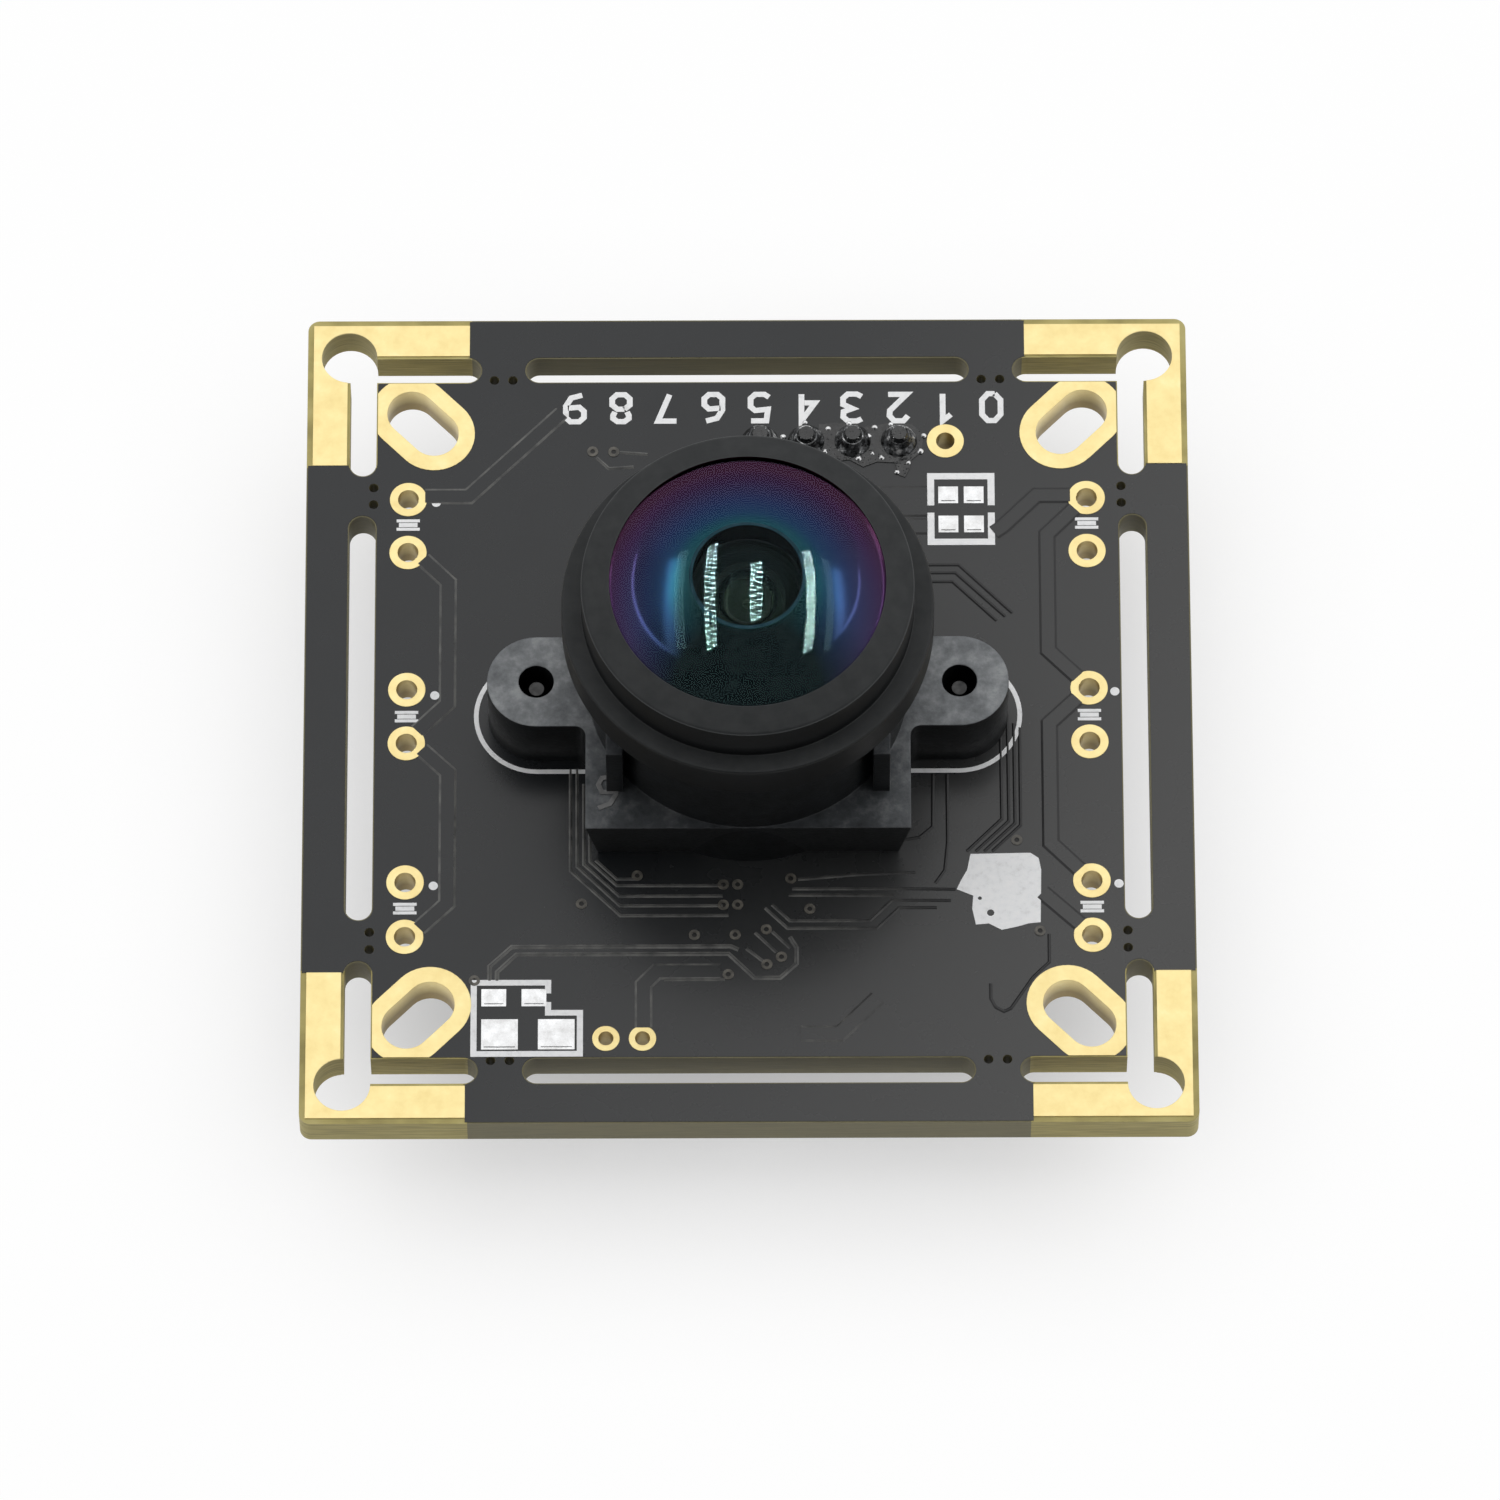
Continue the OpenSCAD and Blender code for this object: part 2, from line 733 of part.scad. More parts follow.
module memory_leads() {
    color(TIN) translate(memory_at) for (a = [0, 180])
        rotate(a) lead_row(4, 1.27, memory_w / 2, 1.05, 0.1 + memory_t / 2, 0.4);
}

module crystal_can() {
    color([0.75, 0.73, 0.66]) translate([crystal_at.x, crystal_at.y, -0.75]) {
        translate([0, 0, 0.25]) linear_extrude(0.5) rounded_rect(crystal_l, crystal_w, 0.2);
        linear_extrude(0.25) rounded_rect(crystal_l - 0.4, crystal_w - 0.4, 0.3);
    }
}

module coil_body() {
    color([0.2, 0.2, 0.21]) translate([coil_at.x, coil_at.y, -1.4]) difference() {
        linear_extrude(1.3) rounded_rect(coil_w, coil_w, 0.5);
        translate([0, 0, -eps]) cylinder(h = 0.12, d = coil_w * 0.55);
    }
}

module coil_terminals() {
    color(TIN) translate([coil_at.x, coil_at.y, -0.1]) for (x = [-1, 1])
        translate([x * coil_w * 0.32 - 0.4, -coil_w * 0.4, 0]) cube([0.8, coil_w * 0.8, 0.1]);
}

module regulator_bodies() {
    color([0.1, 0.1, 0.11]) for (at = regulator_at)
        translate(at) moulded_body(1.6, 2.9, 1.1);
}

module regulator_leads() {
    color(TIN) for (at = regulator_at)
        translate(at) {
            lead_row(3, 0.95, 0.8, 0.7, 0.65, 0.4);
            rotate(180) lead_row(2, 1.9, 0.8, 0.7, 0.65, 0.4);
        }
}

// Small chip parts stand in rows. Each row has its first place, its step and its count.
chip_l = 1.6;
chip_w = 0.8;
chip_end = 0.3;

module chip_row(at, step, count, turn) {
    for (i = [0:count - 1])
        translate(at + i * step) rotate(turn) children();
}

module capacitor_places() {
    chip_row([-4.5, memory_at.y], [1.6, 0], 6, 90) children();
    chip_row([coil_at.x - 3, coil_at.y - 3.4], [1.5, 0], 3, 90) children();
    chip_row([-9, 3.4], [1.6, 0], 3, 90) children();
    chip_row([half - 4.4, -7], [0, -1.6], 2, 0) children();
}

module resistor_places() {
    chip_row([-3.6, 5.4], [1.5, 0], 5, 90) children();
    chip_row([4.6 - half, -3], [0, -1.4], 2, 0) children();
    chip_row([3.2, 3.8 - half], [1.6, 0], 4, 90) children();
}

module chip_body(t) {
    translate([-chip_l / 2 + chip_end, -chip_w / 2, -t]) cube([chip_l - 2 * chip_end, chip_w, t]);
}

module chip_ends(t) {
    for (x = [-chip_l / 2, chip_l / 2 - chip_end])
        translate([x, -chip_w / 2 - 0.02, -t - 0.02]) cube([chip_end, chip_w + 0.04, t + 0.02]);
}

module capacitor_bodies() {
    color([0.6, 0.48, 0.34]) capacitor_places() chip_body(0.8);
}

module resistor_bodies() {
    color([0.12, 0.12, 0.13]) resistor_places() chip_body(0.45);
}

module chip_terminals() {
    color(TIN) {
        capacitor_places() chip_ends(0.8);
        resistor_places() chip_ends(0.45);
    }
}

circuit_board();
corner_lands();
slot_plating();
lamp_hole_plating();
pin_hole_plating();
test_hole_plating();
solder_pads();
pin_solder();
lens_holder();
holder_screws();
sensor_package();
sensor_die();
sensor_cover();
filter_glass();
lens_barrel();
lock_bead();
retaining_ring();
front_element();
second_element();
spacer_sleeve();
aperture_stop();
third_element();
rear_element();
rear_retainer();
wafer_housing();
wafer_contacts();
controller_body();
controller_leads();
memory_body();
memory_leads();
crystal_can();
coil_body();
coil_terminals();
regulator_bodies();
regulator_leads();
capacitor_bodies();
resistor_bodies();
chip_terminals();
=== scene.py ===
"""Looks of the board camera: coatings, print, tracks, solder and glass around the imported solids."""

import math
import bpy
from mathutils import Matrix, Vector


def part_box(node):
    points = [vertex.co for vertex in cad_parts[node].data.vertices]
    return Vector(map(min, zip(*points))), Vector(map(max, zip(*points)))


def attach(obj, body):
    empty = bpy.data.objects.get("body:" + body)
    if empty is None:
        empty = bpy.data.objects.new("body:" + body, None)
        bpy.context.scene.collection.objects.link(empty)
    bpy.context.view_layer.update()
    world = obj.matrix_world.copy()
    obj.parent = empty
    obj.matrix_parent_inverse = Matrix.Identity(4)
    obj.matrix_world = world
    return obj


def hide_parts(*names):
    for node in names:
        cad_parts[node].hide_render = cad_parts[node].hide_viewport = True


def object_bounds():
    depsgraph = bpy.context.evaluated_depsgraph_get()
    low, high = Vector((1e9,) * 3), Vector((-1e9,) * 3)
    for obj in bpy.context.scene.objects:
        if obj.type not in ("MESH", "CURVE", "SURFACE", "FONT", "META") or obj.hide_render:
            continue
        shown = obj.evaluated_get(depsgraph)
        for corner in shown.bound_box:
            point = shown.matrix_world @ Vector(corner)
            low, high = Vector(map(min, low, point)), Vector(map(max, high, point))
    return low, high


bl_info = {
    "name": "Board Camera Looks",
    "version": (1, 0, 0),
    "blender": (4, 5, 0),
    "location": "3D View > Sidebar > Camera",
    "description": "Dresses a board camera with its mask, print, tracks, solder, moulding and coated lens",
    "category": "Object",
}

import bmesh
import bpy
from mathutils import Matrix, Vector

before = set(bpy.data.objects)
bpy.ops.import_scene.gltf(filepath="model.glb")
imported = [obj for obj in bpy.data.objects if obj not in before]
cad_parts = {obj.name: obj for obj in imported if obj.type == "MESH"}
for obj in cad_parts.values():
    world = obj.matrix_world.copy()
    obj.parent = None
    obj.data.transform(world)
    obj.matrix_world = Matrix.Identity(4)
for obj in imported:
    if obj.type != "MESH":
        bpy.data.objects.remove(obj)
CAD_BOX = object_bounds()
MM = 0.001

# Sizes in millimetres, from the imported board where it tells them.
BOARD_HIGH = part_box("circuit_board")[1]
HALF_BOARD = BOARD_HIGH[0] / MM
BOARD_TOP = BOARD_HIGH[2] / MM
MASK_T = 0.025            # thickness of the solder mask skin
MASK_TOP = BOARD_TOP + MASK_T
MASK_GAP = 0.05           # bare edge left beside the routed slots
RIM_GAP = 0.06            # bare edge left along the outside of the rim
HALF_INNER = 16.0         # inner board, inside the routed slots
ROUTE_W = 1.15            # width of the routed slots
ROUTE_MID = HALF_INNER + ROUTE_W / 2
LONG_SLOT_END = 9.55
CORNER_ARM_START = 11.5
LAND_START = 12.0         # where the bare corner lands begin
TAB_X = 10.525            # middle of each pair of perforations
TAB_HOLE_STEP = 0.4
TAB_HOLE_R = 0.21
TAB_HOLE_Y = HALF_INNER + 0.1
MOUNT_SLOT = (13.505, 14.495, 1.35)    # ends along the diagonal, radius of the opening in the mask
LAMP_X = 14.6
LAMP_STEP = 9.08
LAMP_PITCH = 2.54
LAMP_RING_R = 0.66
PIN_X, PIN_Y, PIN_PITCH = 0.55, 13.1, 2.0
PIN_COUNT = 5             # holes of the connector row, of which the last stays empty
PIN_RING_R = 0.62
TEST_XS, TEST_Y = (-6.05, -4.5), -15.1
TEST_RING_R = 0.48
EAR_X = 9.0
EAR_HOLE_FRONT, EAR_HOLE_BACK = 0.8, 0.86
EAR_LINE_R = 2.62         # the printed line round each ear
EAR_LINE_X = 6.95         # where that line starts
HOLDER_BASE = 3.45        # height of the holder's lower block

# The lens, in millimetres.
GLASS_OPEN_R = 5.8        # opening of the front ring
GLASS_FIT = 0.04          # play round each element
SEAT_DROP = 0.8           # the front seat lies this far under the glass's flat back
THREAD_R = 5.99
SECOND_BORE_R, SECOND_SEAT = 4.24, 11.8
MIDDLE_BORE_R, MIDDLE_SEAT = 3.24, 8.35
LIGHT_BORE_R = 1.7
REAR_BORE_R, REAR_SEAT = 4.14, 7.85
HOLLOW_R = 3.2            # curvature of the hollow behind the front glass
HOLLOW_OPEN = 2.2         # its radius where it opens
HOLLOW_RIM = 1.15         # height of that edge above the glass's flat back
HOLLOW_EDGE = 0.14        # width of its rounded edge
SECOND_FRONT_R = 9.0      # curvature of the second element's upper face
SECOND_HOLLOW_R = 2.0     # curvature of the hollow in its lower face
SECOND_HOLLOW_SINK = 1.1  # how far under that face the hollow's centre lies
THIRD_FRONT_R = 5.0       # curvature of the third element's upper face


# ---------------------------------------------------------------- shapes

def arc(cx, cy, r, a0, a1, n=12):
    """Points of an arc in millimetres, from angle a0 to a1 in degrees."""
    steps = [math.radians(a0 + (a1 - a0) * i / n) for i in range(n + 1)]
    return [(cx + r * math.cos(a), cy + r * math.sin(a)) for a in steps]


def circle(cx, cy, r, n=32):
    """Points of a full circle."""
    return arc(cx, cy, r, 0, 360, n)[:-1]


def stadium(p, q, r, n=16):
    """Outline of a strip with round ends of radius r around the line from p to q."""
    turn = math.degrees(math.atan2(q[1] - p[1], q[0] - p[0]))
    return arc(*q, r, turn - 90, turn + 90, n) + arc(*p, r, turn + 90, turn + 270, n)


def turned(points, quarter):
    """Points turned about the origin by quarter turns."""
    c, s = ((1, 0), (0, 1), (-1, 0), (0, -1))[quarter % 4]
    return [(c * x - s * y, s * x + c * y) for x, y in points]


def loop_edges(bm, points, z):
    """A closed loop of edges at one height."""
    verts = [bm.verts.new((x, y, z)) for x, y in points]
    return [bm.edges.new((verts[i - 1], verts[i])) for i in range(len(verts))]


def raise_faces(bm, faces, height):
    """Extrudes faces upwards into a closed slab and returns the faces on top."""
    grown = bmesh.ops.extrude_face_region(bm, geom=faces, use_keep_orig=True)
    tops = [v for v in grown["geom"] if isinstance(v, bmesh.types.BMVert)]
    bmesh.ops.translate(bm, verts=tops, vec=(0, 0, height))
    return [f for f in grown["geom"] if isinstance(f, bmesh.types.BMFace)]


def plate(bm, loops, z, height):
    """A flat slab with the first loop as its outline and the others as holes."""
    edges = [e for points in loops for e in loop_edges(bm, points, z)]
    filled = bmesh.ops.triangle_fill(bm, use_beauty=True, use_dissolve=False, edges=edges)
    raise_faces(bm, [f for f in filled["geom"] if isinstance(f, bmesh.types.BMFace)], height)


def offset_chain(path, distance):
    """A path moved sideways by a distance, with mitred corners."""
    moved = []
    for i, point in enumerate(path):
        p = Vector(point)
        before = (p - Vector(path[i - 1])).normalized() if i else None
        after = (Vector(path[i + 1]) - p).normalized() if i < len(path) - 1 else None
        d0, d1 = before or after, after or before
        normal = Vector((-(d0 + d1).y, (d0 + d1).x)).normalized()
        moved.append(p + normal * distance / max(0.3, normal.dot(Vector((-d0.y, d0.x)))))
    return moved


def ribbon(bm, path, width, z, height, shoulder=0.0):
    """A raised strip along a path. Its sloping shoulders take the second material."""
    rails = []
    for offset, rise in ((width / 2, 0), (width / 2 - shoulder, height),
                         (shoulder - width / 2, height), (-width / 2, 0)):
        rails.append([bm.verts.new((p.x, p.y, z + rise)) for p in offset_chain(path, offset)])
    for a, b, part in ((0, 1, 1), (1, 2, 0), (2, 3, 1), (3, 0, 0)):
        for i in range(len(path) - 1):
            face = bm.faces.new((rails[a][i], rails[b][i], rails[b][i + 1], rails[a][i + 1]))
            face.material_index = part if shoulder else 0
    for i in (0, -1):
        bm.faces.new([rail[i] for rail in rails])


def disc(bm, x, y, z, r, height, n=24, crown=0.0):
    """A round slab, with its top drawn in by crown."""
    made = bmesh.ops.create_circle(bm, cap_ends=True, radius=r, segments=n,
                                   matrix=Matrix.Translation((x, y, z)))
    top = raise_faces(bm, [made["verts"][0].link_faces[0]], height)
    if crown:
        verts = [v for f in top for v in f.verts]
        bmesh.ops.scale(bm, verts=verts, vec=(1 - crown, 1 - crown, 1),
                        space=Matrix.Translation((-x, -y, 0)))


def spun(bm, profile, steps=192):
    """A body of revolution about the optical axis from a profile of (radius, height)."""
    verts = [bm.verts.new((r, 0, z)) for r, z in profile]
    edges = [bm.edges.new((verts[i - 1], verts[i])) for i in range(len(verts))
             if not (profile[i - 1][0] == 0 and profile[i][0] == 0)]
    bmesh.ops.spin(bm, geom=verts + edges, cent=(0, 0, 0), axis=(0, 0, 1), dvec=(0, 0, 0),
                   angle=math.tau, steps=steps, use_merge=True, use_normal_flip=False,
                   use_duplicate=False)
    bmesh.ops.remove_doubles(bm, verts=bm.verts, dist=1e-4)


def rounded_profile(points, radii, n=5):
    """A closed profile whose corners are replaced by short curves of the given radii."""
    out = []
    for i, (corner, r) in enumerate(zip(points, radii)):
        p = Vector(corner)
        a, b = Vector(points[i - 1]), Vector(points[(i + 1) % len(points)])
        if not r:
            out.append((p.x, p.y))
            continue
        start, end = p + (a - p).normalized() * r, p + (b - p).normalized() * r
        for k in range(n + 1):
            t = k / n
            q = start.lerp(p, t).lerp(p.lerp(end, t), t)
            out.append((q.x, q.y))
    return out


def piece(name, bm, materials, replaces=(), smooth=30.0):
    """Turns a bmesh in millimetres into a finished object that rides on the camera."""
    bmesh.ops.recalc_face_normals(bm, faces=bm.faces)
    bmesh.ops.scale(bm, verts=bm.verts, vec=(MM, MM, MM))
    mesh = bpy.data.meshes.new(name)
    bm.to_mesh(mesh)
    bm.free()
    mesh.shade_smooth()
    mesh.set_sharp_from_angle(angle=math.radians(smooth))
    thing = bpy.data.objects.new(name, mesh)
    bpy.context.scene.collection.objects.link(thing)
    for m in materials:
        mesh.materials.append(m)
    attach(thing, "root")
    if replaces:
        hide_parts(*replaces)
    return thing


def dress(node, material):
    """Gives a carried-over solid its finish."""
    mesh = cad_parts[node].data
    mesh.materials.clear()
    mesh.materials.append(material)


# ---------------------------------------------------------------- materials

class Nodes:
    """A small builder of shader nodes for one material, or for the world."""

    def __init__(self, name, world=None):
        owner = world or bpy.data.materials.get(name) or bpy.data.materials.new(name)
        owner.use_nodes = True
        self.material = owner
        self.tree = owner.node_tree
        self.tree.nodes.clear()
        self.out = self.tree.nodes.new("ShaderNodeOutput" + ("World" if world else "Material"))

    def add(self, kind, inputs=None, **settings):
        """A node with its inputs linked or set, and its own settings."""
        node = self.tree.nodes.new("ShaderNode" + kind)
        for key, value in settings.items():
            setattr(node, key, value)
        for key, value in (inputs or {}).items():
            if isinstance(value, bpy.types.NodeSocket):
                self.tree.links.new(value, node.inputs[key])
            else:
                node.inputs[key].default_value = value
        return node

    def coords(self):
        """Object coordinates in millimetres."""
        place = self.add("TexCoord").outputs["Object"]
        return self.add("Mapping", {"Vector": place, "Scale": (1 / MM,) * 3}).outputs["Vector"]

    def axes(self):
        """X, Y and Z in millimetres, each as an output."""
        return self.add("SeparateXYZ", {"Vector": self.coords()}).outputs

    def math(self, operation, a, b=0.0):
        """The result of one operation on one or two values."""
        return self.add("Math", {0: a, 1: b}, operation=operation).outputs[0]

    def reach(self, axes):
        """Distance from the optical axis."""
        squares = [self.math("MULTIPLY", axes[key], axes[key]) for key in "XY"]
        return self.math("SQRT", self.math("ADD", *squares))

    def spread(self, value, low, high, at=(0.0, 1.0)):
        """A value between two places turned into one between low and high."""
        inputs = {"Value": value, 1: at[0], 2: at[1], 3: low, 4: high}
        return self.add("MapRange", inputs).outputs[0]

    def noise(self, scale, detail=3.0, roughness=0.5):
        """Noise from 0 to 1. Its scale counts the features in a millimetre."""
        return self.add("TexNoise", {"Vector": self.coords(), "Scale": scale, "Detail": detail,
                                     "Roughness": roughness}).outputs["Fac"]

    def ramp(self, fac, *stops):
        """A colour from a value, with stops of place and colour."""
        node = self.add("ValToRGB", {"Fac": fac})
        elements = node.color_ramp.elements
        while len(elements) < len(stops):
            elements.new(0.5)
        for element, (position, color) in zip(elements, stops):
            element.position = position
            element.color = (*color, 1.0)
        return node.outputs["Color"]

    def mix(self, fac, a, b):
        """A blend of two colours, or of two vectors."""
        node = self.add("Mix", data_type="RGBA")
        for key, value in ((0, fac), (6, a), (7, b)):
            if isinstance(value, bpy.types.NodeSocket):
                self.tree.links.new(value, node.inputs[key])
            else:
                node.inputs[key].default_value = value if key == 0 else (*value, 1.0)
        return node.outputs[2]

    def bump(self, height, distance, strength=1.0, edge=0.0):
        """A normal from a height in millimetres, over edges rounded by the given radius."""
        inputs = {"Height": height, "Distance": distance * MM, "Strength": strength}
        if edge:
            inputs["Normal"] = self.rounding(edge)
        return self.add("Bump", inputs).outputs["Normal"]

    def rounding(self, radius):
        """A normal that rounds the edges."""
        return self.add("Bevel", {"Radius": radius * MM}, samples=4).outputs["Normal"]

    def edges(self, radius):
        """1 along edges, 0 on the faces between them."""
        flat = self.add("NewGeometry").outputs["Normal"]
        likeness = self.add("VectorMath", {0: self.rounding(radius), 1: flat}, operation="DOT_PRODUCT")
        return self.spread(likeness.outputs["Value"], 0.0, 1.0, at=(0.995, 0.85))

    def upward(self):
        """1 on faces that look up, 0 on walls."""
        normal = self.add("NewGeometry").outputs["Normal"]
        z = self.add("SeparateXYZ", {"Vector": normal}).outputs["Z"]
        return self.spread(z, 0.0, 1.0, at=(0.5, 0.95))

    def surface(self, **inputs):
        """A Principled surface. Keyword names stand for its sockets."""
        names = {"color": "Base Color", "metal": "Metallic", "rough": "Roughness", "normal": "Normal",
                 "specular": "Specular IOR Level"}
        fixed = {}
        for key, value in inputs.items():
            is_plain_color = isinstance(value, tuple) and len(value) == 3
            fixed[names[key]] = (*value, 1.0) if is_plain_color else value
        self.finish(self.add("BsdfPrincipled", fixed))
        return self.material

    def finish(self, shader):
        """Makes a shader the material's surface."""
        self.tree.links.new(shader.outputs[0], self.out.inputs["Surface"])


def grey(level):
    """An even grey."""
    return (level, level, level)


def chosen(name):
    """A colour from the board's settings."""
    return tuple(getattr(bpy.context.scene.camera_looks_board, name))


def laminate_material():
    """Olive glass-epoxy with fine horizontal layers on its cut edges."""
    n = Nodes("laminate")
    xyz = n.axes()
    flattened = n.add("Mapping", {"Vector": n.coords(), "Scale": (0.6, 0.6, 14.0)}).outputs[0]
    layers = n.add("TexNoise", {"Vector": flattened, "Scale": 1.0, "Detail": 4.0}).outputs["Fac"]
    base = n.ramp(layers, (0.3, (0.30, 0.25, 0.075)), (0.55, (0.46, 0.39, 0.13)), (0.8, (0.56, 0.49, 0.20)))
    # Between the corner lands the cut edge is darker.
    nearer = n.math("MINIMUM", n.math("ABSOLUTE", xyz["X"]), n.math("ABSOLUTE", xyz["Y"]))
    middle = n.math("LESS_THAN", nearer, LAND_START - 0.1)
    color = n.mix(n.math("MULTIPLY", middle, 0.8), base, (0.105, 0.098, 0.06))
    return n.surface(color=color, rough=0.55, normal=n.bump(layers, 0.02, 0.6))


def mask_material():
    """Satin black solder mask with a faint orange-peel surface, greyer towards one corner as a painted
    reflection.
    """
    n = Nodes("solder_mask")
    cloud = n.noise(0.35, 4.0, 0.6)
    xyz = n.axes()
    # Painted reflection: the mask is lifted towards grey across the board, as if mirroring a bright light on
    # that side.
    slant = n.math("SUBTRACT", xyz["X"], n.math("MULTIPLY", xyz["Y"], 0.45))
    painted_sheen = n.spread(slant, 0.0, 1.0, at=(-6.0, 21.0))
    black = n.ramp(cloud, (0.3, (0.0045, 0.0062, 0.0080)), (0.75, chosen("mask_color")))
    color = n.mix(painted_sheen, black, (0.046, 0.0465, 0.046))
    grain = n.noise(9.0, 3.0, 0.6)
    return n.surface(color=color, rough=n.spread(cloud, 0.22, 0.32), specular=0.52,
                     normal=n.bump(grain, 0.003, 0.4))


def track_edge_material():
    """Mask over the shoulders of a track, pale on the board's left as a painted highlight and darker on its
    right as painted shade.
    """
    n = Nodes("track_edge")
    # Painted light: the shoulders turn from a pale painted highlight on the left to painted shade on the
    # right.
    right = n.spread(n.axes()["X"], 0.0, 1.0, at=(2.0, 8.0))
    pale = n.ramp(n.noise(1.6, 4.0), (0.35, (0.055, 0.056, 0.055)), (0.65, (0.125, 0.125, 0.118)))
    return n.surface(color=n.mix(right, pale, (0.010, 0.010, 0.011)), rough=0.5)


def via_material():
    """Mask over the ring of a small plated hole."""
    n = Nodes("via_ring")
    color = n.ramp(n.noise(4.0), (0.3, (0.05, 0.047, 0.04)), (0.7, (0.14, 0.13, 0.11)))
    return n.surface(color=color, rough=0.42)


def gold_material():
    """Pale flash gold, with painted shade that darkens it down the holes."""
    n = Nodes("pale_gold")
    cloud = n.noise(1.1, 5.0, 0.62)
    bright = n.ramp(cloud, (0.3, (0.86, 0.69, 0.31)), (0.6, chosen("gold_color")), (0.8, (0.98, 0.87, 0.50)))
    # Painted shade: the plating is darker the lower it lies down the holes.
    hole_shade = n.spread(n.axes()["Z"], 0.0, 0.85, at=(BOARD_TOP - 0.12, 0.5))
    color = n.mix(hole_shade, bright, (0.20, 0.135, 0.045))
    return n.surface(color=color, metal=0.85, rough=n.spread(n.noise(6.0), 0.30, 0.44),
                     normal=n.bump(n.noise(14.0, 4.0), 0.004, 0.5, edge=0.03))


def solder_material():
    """Bright tin with an uneven surface."""
    n = Nodes("bright_solder")
    color = n.ramp(n.noise(2.2, 4.0, 0.6), (0.3, grey(0.62)), (0.7, (0.86, 0.87, 0.88)))
    return n.surface(color=color, metal=1.0, rough=n.spread(n.noise(5.0), 0.16, 0.34),
                     normal=n.bump(n.noise(2.6, 2.0), 0.06, 0.6))


def print_material():
    """White legend ink, thin enough to show a little dark in places."""
    n = Nodes("legend_ink")
    cloud = n.noise(3.5, 4.0, 0.65)
    color = n.ramp(cloud, (0.25, grey(0.78)), (0.45, chosen("ink_color")), (0.7, grey(0.98)))
    return n.surface(color=color, rough=0.6, normal=n.bump(n.noise(12.0), 0.01, 0.5))


def moulding_material():
    """Black glass-filled moulding: near black on its walls as painted shade, with a pale cloudy mottle on
    its upper faces that is glass-fibre whitening and painted sheen, brightest on the ears, and edges
    lightened as a painted highlight.
    """
    n = Nodes("holder_moulding")
    cloud = n.noise(0.8, 6.0, 0.68)
    speck = n.noise(5.5, 3.0, 0.6)
    # Painted sheen: the upper faces lighten from the lens out to the ears, while the corners by the lens
    # stay in painted shade.
    ears = n.spread(n.math("ABSOLUTE", n.axes()["X"]), 0.0, 1.0, at=(5.5, 8.5))
    bloom_and_sheen = n.ramp(cloud, (0.30, (0.020, 0.0225, 0.025)), (0.5, (0.052, 0.057, 0.062)),
                   (0.68, (0.13, 0.135, 0.14)))
    ear_bloom_and_sheen = n.ramp(cloud, (0.32, (0.10, 0.108, 0.116)), (0.5, (0.20, 0.212, 0.222)),
                       (0.66, (0.33, 0.345, 0.355)))
    wall = n.ramp(n.noise(1.3, 5.0, 0.6), (0.35, (0.0028, 0.0034, 0.004)), (0.7, (0.008, 0.0095, 0.011)))
    # Painted shade on the walls, painted sheen on the upper faces.
    color = n.mix(n.upward(), wall, n.mix(ears, bloom_and_sheen, ear_bloom_and_sheen))
    # Painted highlight along the edges.
    color = n.mix(n.math("MULTIPLY", n.edges(0.07), 0.5), color, (0.07, 0.075, 0.08))
    height = n.math("ADD", n.math("MULTIPLY", cloud, 0.6), n.math("MULTIPLY", speck, 0.4))
    return n.surface(color=color, rough=n.spread(speck, 0.30, 0.5), specular=0.36,
                     normal=n.bump(height, 0.05, 0.55, edge=0.09))


def anodised_material():
    """Matt black anodised aluminium with faint turning marks; its walls darker as painted shade, its upper
    faces lighter as painted sheen, and its edges lighter as a painted highlight.
    """
    n = Nodes("black_anodised")
    xyz = n.axes()
    place = n.add("CombineXYZ", {"X": n.reach(xyz), "Z": xyz["Z"]}).outputs[0]
    turning = n.add("TexNoise", {"Vector": place, "Scale": 14.0, "Detail": 2.0}).outputs["Fac"]
    cloud = n.noise(1.4, 4.0)
    wall = n.ramp(cloud, (0.3, (0.0026, 0.003, 0.0034)), (0.7, (0.0042, 0.0048, 0.0054)))
    face = n.ramp(cloud, (0.3, (0.018, 0.020, 0.021)), (0.7, (0.028, 0.030, 0.031)))
    # Painted shade on the walls, painted sheen on the upper faces.
    color = n.mix(n.upward(), wall, face)
    # Painted highlight along the edges.
    color = n.mix(n.math("MULTIPLY", n.edges(0.06), 0.6), color, (0.085, 0.09, 0.092))
    return n.surface(color=color, rough=0.46, specular=0.22, normal=n.bump(turning, 0.006, 0.5))


def plain_plastic(name, dark, light, rough=0.45, edge=0.06):
    """A moulded surface with a soft change of colour and a fine grain."""
    n = Nodes(name)
    color = n.ramp(n.noise(2.5, 4.0), (0.3, dark), (0.7, light))
    return n.surface(color=color, rough=rough, normal=n.bump(n.noise(9.0), 0.01, 0.5, edge=edge))


def plain_metal(name, dark, light, rough=0.3):
    """Metal with a soft change of colour and gloss."""
    n = Nodes(name)
    color = n.ramp(n.noise(3.0, 4.0), (0.3, dark), (0.7, light))
    return n.surface(color=color, metal=1.0, rough=n.spread(n.noise(8.0), rough - 0.08, rough + 0.08),
                     normal=n.bump(n.noise(12.0), 0.004, 0.5, edge=0.03))


def coated_glass(name, stops, mirror):
    """Glass whose coating mirrors a share of the light, in other colours as the surface turns away."""
    n = Nodes(name)
    facing = n.add("LayerWeight", {"Blend": 0.5}).outputs["Facing"]
    tint = n.ramp(facing, *stops)
    bend = n.add("BsdfRefraction", {"Color": (0.92, 0.95, 0.95, 1.0), "IOR": 1.5, "Roughness": 0.0})
    shine = n.add("BsdfGlossy", {"Color": tint, "Roughness": 0.0})
    n.finish(n.add("MixShader", {0: mirror, 1: bend.outputs[0], 2: shine.outputs[0]}))
    return n.material


